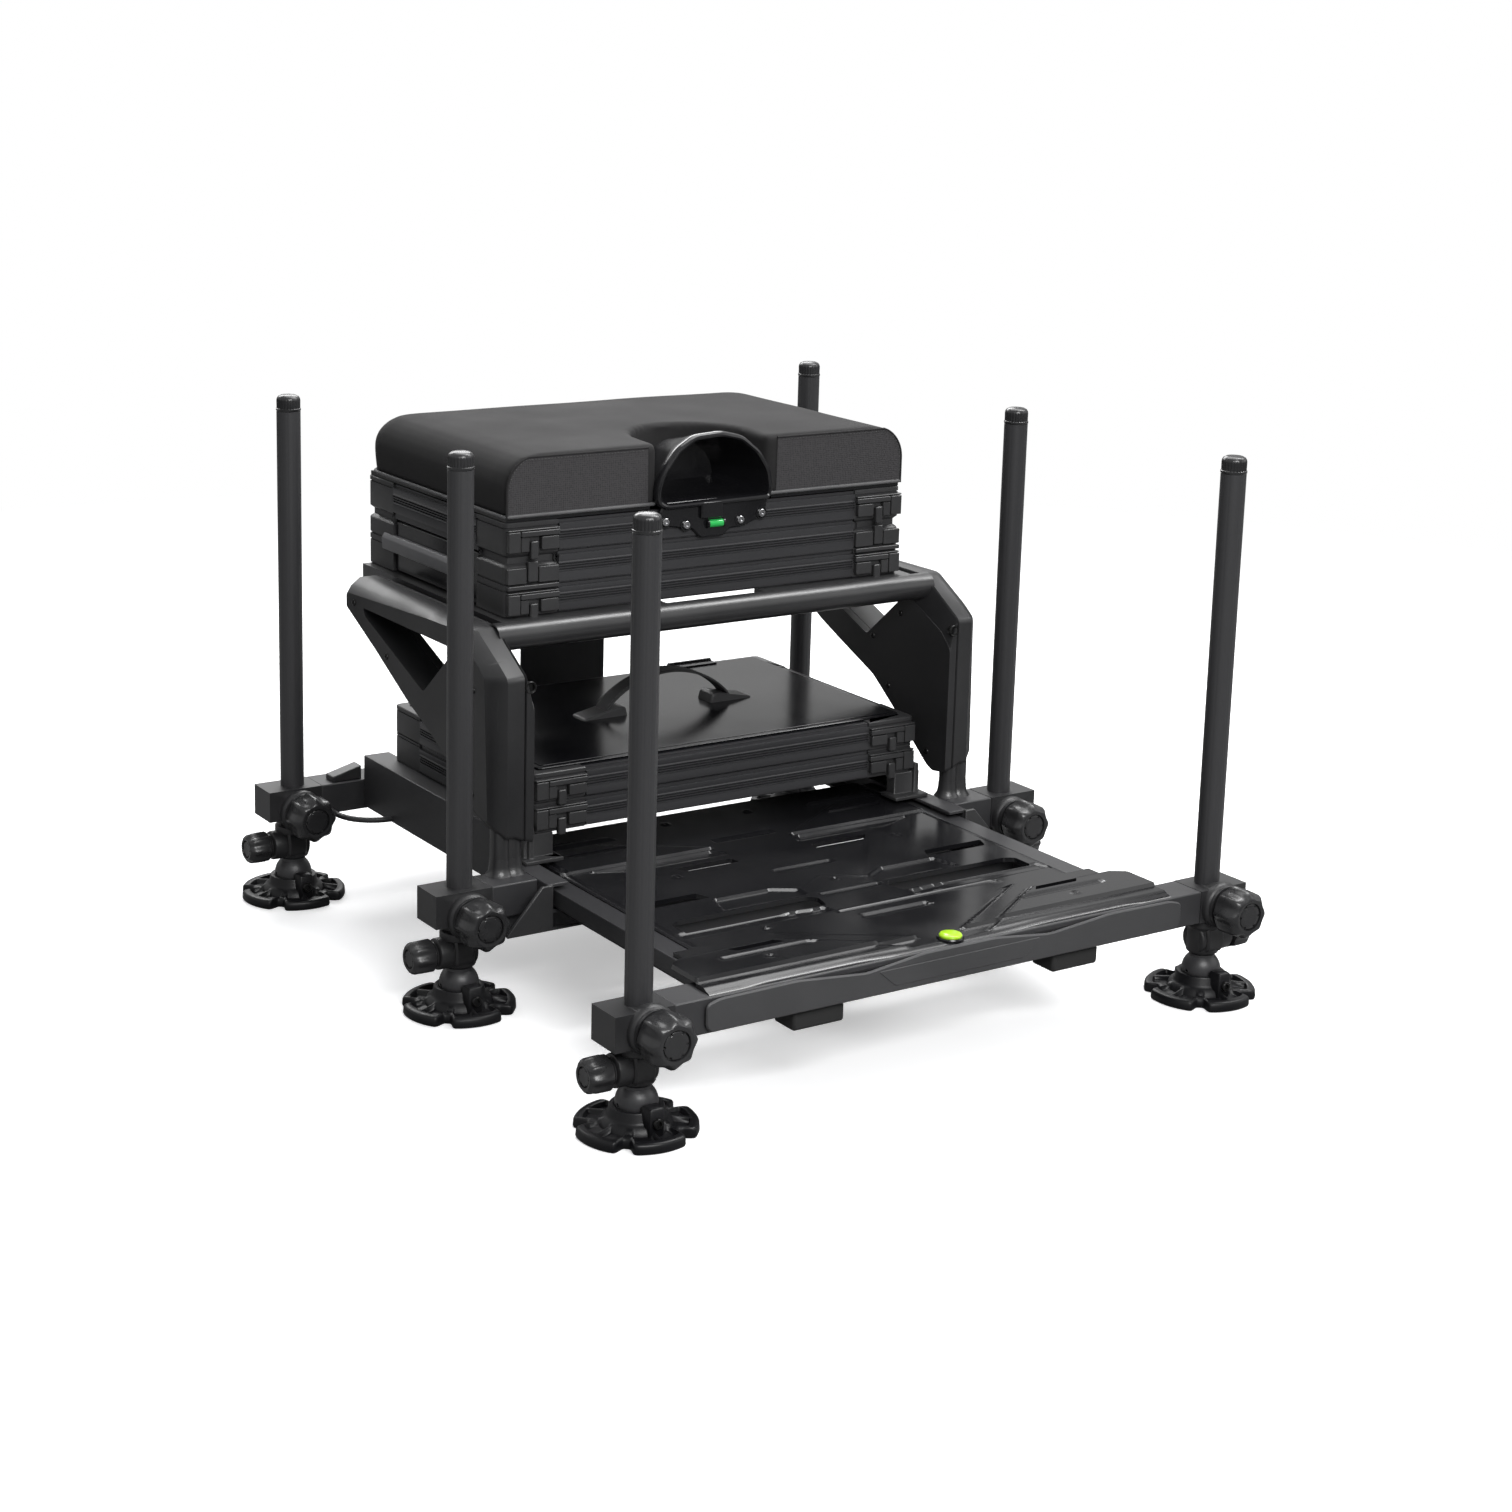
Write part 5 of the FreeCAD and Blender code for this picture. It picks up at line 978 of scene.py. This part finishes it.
def hood_ring(y, drawn, shrink):
    """The mouth's outline drawn in, then scaled by 1 less the shrink about its middle, at a place along y."""
    return lift((inset(HOOD_OUTER, drawn) - HOOD_MIDDLE) * (1 - shrink) + HOOD_MIDDLE, y, "y")


apron = slab(rounded(APRON, 4), 52.8, 59.6, 1.4, "y")
tab = slab(rounded([(-18, 462), (-18, 444), (9, 444), (9, 462)], 3), 48.4, 53.5, 1.2, "y")
cups = [lathe([4.6, 5.4, 6.6, 6.8], [53.4, 52.2, 52.2, 53.6], (x, 0, z), "y", 32) for x, z in HOOD_SCREWS]
hood = [stack(np.stack([hood_ring(*row) for row in HOOD_RINGS])), apron, tab] + cups
piece("hood", [(form, deck_gloss) for form in hood], "frame", ("pole_hood",), sharp=38)

# %% Hood screws and tube level
LEVEL_AT = (1, 52.2, 438)
screws = [lathe([3.9, 4.1, 4.1, 3.6, 1.9, 1.8, 0.3], [53.5, 53.2, 50.9, 50.4, 50.4, 51.9, 52.0],
                (x, 0, z), "y", 24) for x, z in HOOD_SCREWS]
piece("hood_bolts", [(form, screw_steel) for form in screws], "frame", ("hood_screws",))
tube = lathe([2.5, 3.9, 4, 4, 3.9, 2.5], [-9, -8.6, -8, 8, 8.6, 9], LEVEL_AT, "x", 32)
level_caps = [lathe([3.6, 4.6, 4.6, 3.6], span, LEVEL_AT, "x", 32)
              for span in ((-11, -10.6, -8.6, -8.2), (8.2, 8.6, 10.6, 11))]
parts = [(tube, level_green)] + [(cap, deck_gloss) for cap in level_caps]
piece("hood_tube_level", parts, "frame", ("hood_level",))

# %% [markdown]
# ## Footplate
# The footplate is one glossy moulding. Its top is a height field: a low centre, raised sides whose
# edges run forwards and outwards, fine grooves beside them, and a front that rolls down over the bar
# with a hump on each side. The slots are cut through afterwards.

# %% Height field helpers
def smooth_step(value, low, high):
    """0 below low, 1 above high and 3t^2 - 2t^3 between them."""
    t = np.clip((value - low) / (high - low), 0, 1)
    return t * t * (3 - 2 * t)


def within(x, y, corners, soft=0.9):
    """1 inside a convex polygon given anticlockwise, 0 outside, with a soft step of a half width between."""
    p = np.asarray(corners, float)
    ahead = unit(np.roll(p, -1, 0) - p)
    depth = np.min([ax * (y - py) - ay * (x - px) for (px, py), (ax, ay) in zip(p, ahead)], axis=0)
    return smooth_step(depth, -soft, soft)


# %% Footplate relief
DECK_MIDDLE = 3
# The height and the outline of each raised or sunken field. A field whose first corner is right of the
# middle is on both sides alike; the others cross the middle.
FIELDS = [
    (2.4, [(47, -29), (228, -29), (228, 36), (147, 36), (61, -19)]),
    (-2.4, [(46, -60), (122, -60), (137, -55), (156, -48), (206, -48), (206, -33), (54, -33), (46, -44)]),
    (-1.8, [(-60, -99), (-76, -82), (-60, -80), (72, -80), (72, -92)]),
    (-1.8, [(-30, -121), (41, -121), (41, -113), (-30, -113)]),
    (-1.6, [(-30, -12), (41, -12), (41, -4), (-30, -4)]),
    (2.0, [(120, 46), (210, 46), (210, 57), (130, 57)]),
    (-2.2, [(44, -190), (212, -190), (212, -160), (132, -160), (124, -128), (44, -174)]),
    (-1.8, [(38, -190), (216, -190), (216, -133), (160, -133), (141, -136), (112, -156), (50, -194)]),
    (-2.2, [(50, -241), (222, -241), (214, -226), (100, -226), (52, -230)]),
    (1.5, [(-45, -250), (140, -250), (140, -246.5), (-45, -246.5)]),
    (-1.8, [(-30, -274.5), (46, -274.5), (46, -265), (-30, -265)]),
    (-1.6, [(-30, -203), (41, -203), (41, -195), (-30, -195)]),
    (3.4, [(26, -345), (270, -345), (270, -271.5), (144, -271.5)]),
    (2.8, [(46, -362), (290, -362), (290, -293), (150, -293)]),
    (-1.6, [(120, -318), (224, -318), (224, -311), (128, -311)])]
BOSSES = ((-125, -87), (147, -82), (9, -167), (-130, -252), (144, -250), (-44, 64), (56, 60), (-178, -330),
          (180, -330))


def deck_relief(x, y):
    """Height above the deck's low middle: fields, bosses with a dimple, a sloping ridge and side grooves."""
    off = np.abs(x - DECK_MIDDLE)
    height = sum(rise * within(off if corners[0][0] > 0 else x, y, corners) for rise, corners in FIELDS)
    for bx, by in BOSSES:
        far = np.hypot(x - bx, y - by)
        height = height + 1.0 * smooth_step(-far, -5.2, -3.8) - 1.6 * smooth_step(-far, -2.6, -1.8)
    ridge = np.exp(-((off - 42 - (y + 176) * -1.54) / 1.2) ** 2) * (y < -120) * (y > -176)
    groove = smooth_step(off, 216.5, 218) - smooth_step(off, 220, 221.5)
    return height + 0.6 * ridge - 1.0 * groove * (y > -262)


# %% Footplate surface
DECK_TOP, DECK_REAR, ROLL_Y, ROLL_RADIUS = 118.6, 92.8, -362, 12
ROWS, COLUMNS = 205, 229


def deck_points():
    """Rows go forwards, then down a quarter circle: z = top + relief - fall + the humps at the lip."""
    bend = np.linspace(0.1, 1, 9) * np.pi / 2
    skirt = np.array([2.0, 4.0, 5.5])
    run = np.concatenate([np.linspace(DECK_REAR, ROLL_Y, ROWS), ROLL_Y - ROLL_RADIUS * np.sin(bend),
                          0 * skirt + ROLL_Y - ROLL_RADIUS - 0.2])
    fall = np.concatenate([np.zeros(ROWS), ROLL_RADIUS * (1 - np.cos(bend)), ROLL_RADIUS + skirt])
    half = np.where(run > -271, 223.4, np.interp(run, [-305, -290, 93], [268.5, 245.6, 245.6]))
    x = np.linspace(-1, 1, COLUMNS)[None] * half[:, None]
    y = run[:, None] + 0 * x
    off = np.abs(x - DECK_MIDDLE)
    hump = smooth_step(off, 45, 120) - 0.7 * smooth_step(off, 205, 240)
    roll = smooth_step(-y, 345, 372)
    drop = fall[:, None] * (0.72 + 0.45 * hump)
    z = DECK_TOP + deck_relief(x, y) * (1 - 0.45 * roll) - drop + 2.2 * roll * hump
    return np.stack([x, y, z], -1)


# %% Footplate with its slots
SLOTS = (((122, 9), (190, 9), (196, 17), (128, 17)), ((47, -76), (108, -76), (118, -64), (49, -64)),
         ((132, -154), (205, -154), (212, -137), (138, -137)),
         ((41, -205), (46, -226), (206, -226), (206, -202), (196, -196), (50, -196)),
         ((148, -304), (200, -304), (209, -293), (158, -293)))
SLOT_LOW, SLOT_HIGH = 100, 140


def slot_prism(side, outline):
    """A slot's outline on one side of the deck as a tall prism."""
    places = [(DECK_MIDDLE + side * x, y) for x, y in outline]
    return slab(rounded(places, 2.5, 5), SLOT_LOW, SLOT_HIGH, 0.2)


def cut_away(item, forms, sharp):
    """Cuts forms out of an object, keeps the result as its mesh and shades it anew."""
    cutter_mesh = tidy_mesh(mesh_from("cutter", [(form, bolt_black) for form in forms]))
    cutter = bpy.data.objects.new("cutter", cutter_mesh)
    bpy.context.scene.collection.objects.link(cutter)
    cut = item.modifiers.new("cut", "BOOLEAN")
    cut.operation, cut.object, cut.solver = "DIFFERENCE", cutter, "EXACT"
    kept = list(item.data.materials)
    mesh = keep_modified(item)
    bpy.data.objects.remove(cutter)
    mesh.materials.clear()
    for material in kept:
        mesh.materials.append(material)
    shade(mesh, sharp)


deck = piece("deck_moulding", [(skin(deck_points(), False), deck_gloss)], "footplate", ("footplate_deck",),
             sharp=60)
wall = deck.modifiers.new("wall", "SOLIDIFY")
wall.thickness, wall.offset = 0.0045, -1
keep_modified(deck)
cut_away(deck, [slot_prism(side, slot) for side in (-1, 1) for slot in SLOTS], 40)
print("deck cut to", len(deck.data.polygons), "faces")

# %% [markdown]
# ## Fascia and round level
# A moulded fascia with a raised trim covers the front of the bar, and a round lime level is set into
# the deck's lip, in a black ring. The first is a slab across y, the second a lathe.

# %% Fascia and level
FASCIA = ((-271, 86), (271, 86), (276, 92), (276, 112), (262, 116), (186, 117), (110, 110), (44, 117.5),
          (-40, 117.5), (-104, 110), (-180, 117), (-262, 116), (-276, 112), (-276, 92))
ROUND_LEVEL_AT = (4, -359, 0)

fascia = slab(rounded(FASCIA, 5, 5), -377.5, -373.8, 1.2, "y")
trim = slab(rounded([(-92, 109), (-72, 92), (78, 92), (98, 109)], 4, 5), -378.3, -377.2, 0.5, "y")
piece("fascia", [(fascia, fascia_satin), (trim, fascia_satin)], "footplate", sharp=30)
bubble = lathe([10, 10.8, 11, 10.2, 9.4, 6, 2], [119.4, 119.6, 121.8, 123.0, 123.4, 123.8, 124.0],
               ROUND_LEVEL_AT, points=48)
holder = lathe([11, 12.6, 13, 12.4, 11.2], [116, 116, 119.6, 120.8, 120.6], ROUND_LEVEL_AT, points=48)
parts = [(bubble, level_lime), (holder, deck_gloss)]
piece("deck_level", parts, "footplate", ("footplate_level",))

# %% [markdown]
# ## Side covers
# Each cover is two mouldings that meet in a ridge above the side rail. Their edges run in straight
# lines between a few corners, so each moulding is a stack of outlines with the same corners: one for
# the inner face, one for the seam and one or more for the outer face. The window through both is cut
# afterwards.

# %% Cover outlines
# Corners in the same order all round: front foot, front top, bend, ridge, rear top, rear foot, lower edge.
INNER_FACE = [(-26, 157), (-26, 293), (-9, 309), (44, 334), (110, 343), (300, 331.5), (300, 330.5),
              (214, 279), (174, 262), (110, 236), (71, 208), (7, 158), (-4, 153.5)]
SEAM_FACE = [(-26, 159), (-26, 324), (-10, 333.5), (36, 361.3), (110, 361.4), (300, 361.4), (300, 331),
             (232, 299), (180, 268), (114, 241), (70, 210), (8, 162), (-4, 157)]
EDGE_FACE = [(-25, 163), (-25, 323), (-4, 336), (42, 361.3), (110, 361.4), (300, 361.4), (300, 331),
             (232, 299), (160, 262), (114, 241), (72, 217), (8, 172), (-4, 165)]
OUTER_FACE = [(-12, 180), (-4.5, 320), (6, 330), (56, 357.6), (110, 356), (300, 346), (300, 331), (232, 299),
              (160, 262), (114, 243), (72, 222), (16, 184), (4, 180)]
WINDOW_FACE = [(124, 279), (256, 329), (261, 337), (56, 337)]
CORNER_RADII = [4, 5, 6, 6, 8, 4, 2, 6, 6, 6, 6, 5, 4]
SEAM_X, COVER_INNER, COVER_OUTER = 262, 252.2, 295.8


# %% Cover mouldings
def cover_forms(side):
    """The inner and outer moulding of one side: outlines at places across, with a groove at the seam."""
    middle = [tuple(np.mean([a, b], 0)) for a, b in zip(EDGE_FACE, OUTER_FACE)]
    inner = [(INNER_FACE, COVER_INNER), (INNER_FACE, COVER_INNER + 0.8)]
    outer = [(EDGE_FACE, 272), (EDGE_FACE, 281), (middle, 291), (OUTER_FACE, COVER_OUTER)]
    seam = rounded(SEAM_FACE, CORNER_RADII)
    forms = []
    for faces, way in ((inner, -1), (outer, 1)):
        rings = [lift(rounded(face, CORNER_RADII), side * x, "x") for face, x in faces]
        lips = [lift(inset(seam, 1.6), side * (SEAM_X + 0.3 * way), "x"),
                lift(seam, side * (SEAM_X + 1.3 * way), "x")]
        forms.append(stack(rings + lips[::-1] if way < 0 else lips + rings))
    return forms


COVER_SCREWS = {COVER_INNER: ((64, 314), (112.5, 279), (81, 229), (8, 172)),
                COVER_OUTER: ((18, 305), (20, 200), (282, 338), (206, 297))}


def cover_screws(side):
    """Screw heads on the inner and outer face, each a low dome with a socket, and one round recess in front."""
    heads = []
    for face, places in COVER_SCREWS.items():
        out = side * (1 if face > SEAM_X else -1)
        levels = side * face + out * np.array([-0.2, 0.1, 0.9, 1.2, 1.2, 0.2])
        heads += [lathe([3.4, 3.6, 3.3, 2.6, 1.3, 1.2], levels, (0, y, z), "x", 24) for y, z in places]
    recess = lathe([5.8, 6.2, 5.6, 4.2, 4.0, 1.0], [-22, -25.9, -26.7, -26.2, -23.5, -23.4],
                   (side * 256.5, 0, 313), "y", 32)
    return heads + [recess]


# %% Covers with their windows
for name, side in SIDES:
    cover = piece(f"cover_{name}", [(form, cover_satin) for form in cover_forms(side)], "frame",
                  (f"side_cover_{name}",), sharp=24)
    heads = [(form, bolt_black) for form in cover_screws(side)]
    piece(f"cover_screws_{name}", heads, "frame")
    tunnel = slab(rounded(WINDOW_FACE, [4, 5, 4, 3], 6), *sorted((side * 240, side * 300)), 0.5, "x")
    cut_away(cover, [tunnel], 24)
    round_edges(cover, 1.2, 28)
    print(cover.name, "cut to", len(cover.data.polygons), "faces")

# %% [markdown]
# ## Frame parts with rounded edges
# These CAD parts already have the right shape, but a painted tube or a casting has no knife edges.
# Each is copied, its flat faces are joined, and a small bevel goes round its edges.

# %% Rounded edges
# Node, bevel width and finish.
SOFTENED = (("leg_blocks", 1.6, cast_black), ("footplate_blocks", 1.6, cast_black),
            ("side_rails", 0.8, powder_coat),
            ("cross_beams", 1.5, powder_coat), ("frame_brackets", 1.0, moulded_satin),
            ("seat_frame_sides", 1.2, powder_coat), ("back_plate", 0.8, powder_coat),
            ("footplate_bar", 1.5, powder_coat), ("rubber_feet", 3.0, rubber_black),
            ("footplate_rails", 0.6, tray_extrusion))
for row in SOFTENED:
    softened(*row)

# %% [markdown]
# ## Lid sheet and carry handle
# The lower lid has a glossy sheet with a fine raised field. Its handle is a strap of stitched webbing
# between two moulded wedges: a flat section swept along an arch, with short stitches laid on it.

# %% Lid sheet
lid_skin = slab(oblong(-223, 223, 19, 303, 7), 214.3, 215.8, 0.7)
lid_line = slab(oblong(-216, 216, 26, 296, 5), 215.7, 216.3, 0.3)
piece("lid_sheet", [(lid_skin, lid_gloss), (lid_line, lid_gloss)], "lower_lid", sharp=25)

# %% Handle
HANDLE_X, HANDLE_Y = 12, 163
WEDGE_REACH, STRAP_REACH, STRAP_FOOT, STRAP_RISE = 75, 78, 221, 36


def wedge(middle, side):
    """A handle end: low at its outer tip, high where the strap leaves it, with a rounded back."""
    corners = [(middle + side * 30, 214.2), (middle + side * 30, 217.5), (middle - side * 14, 226.5),
               (middle - side * 20, 225), (middle - side * 23, 214.2)]
    return slab(rounded(corners, 2, 4), HANDLE_Y - 14, HANDLE_Y + 14, 1.6, "y")


def arch(share, aside=0, above=0):
    """Points of the strap at shares of its reach s from -1 to 1: its height is the rise times (1 - s^2)^0.8."""
    height = STRAP_FOOT + STRAP_RISE * (1 - share ** 2) ** 0.8 + above
    return np.stack([HANDLE_X + STRAP_REACH * share, HANDLE_Y + aside + 0 * share, height], -1)


strap = sweep(rounded([(-12, -1.1), (12, -1.1), (12, 1.1), (-12, 1.1)], 0.9, 4), arch(np.linspace(-1, 1, 41)))
stitches = []
for row in (-9, 9):
    spots = arch(np.linspace(-0.94, 0.94, 34), row, 1.3)
    for spot, lean in zip(spots, np.gradient(spots[:, 2]) / np.gradient(spots[:, 0])):
        short = np.array([[-1.4, 0, -1.4 * lean], [0, 0, 0.3], [1.4, 0, 1.4 * lean]]) + spot
        stitches.append(sweep(circle(0.35, 5), short))
parts = [(wedge(HANDLE_X + side * WEDGE_REACH, side), moulded_satin) for side in (-1, 1)]
parts += [(strap, webbing_weave)] + [(form, thread_black) for form in stitches]
piece("handle", parts, "lower_lid", ("carry_handle",))
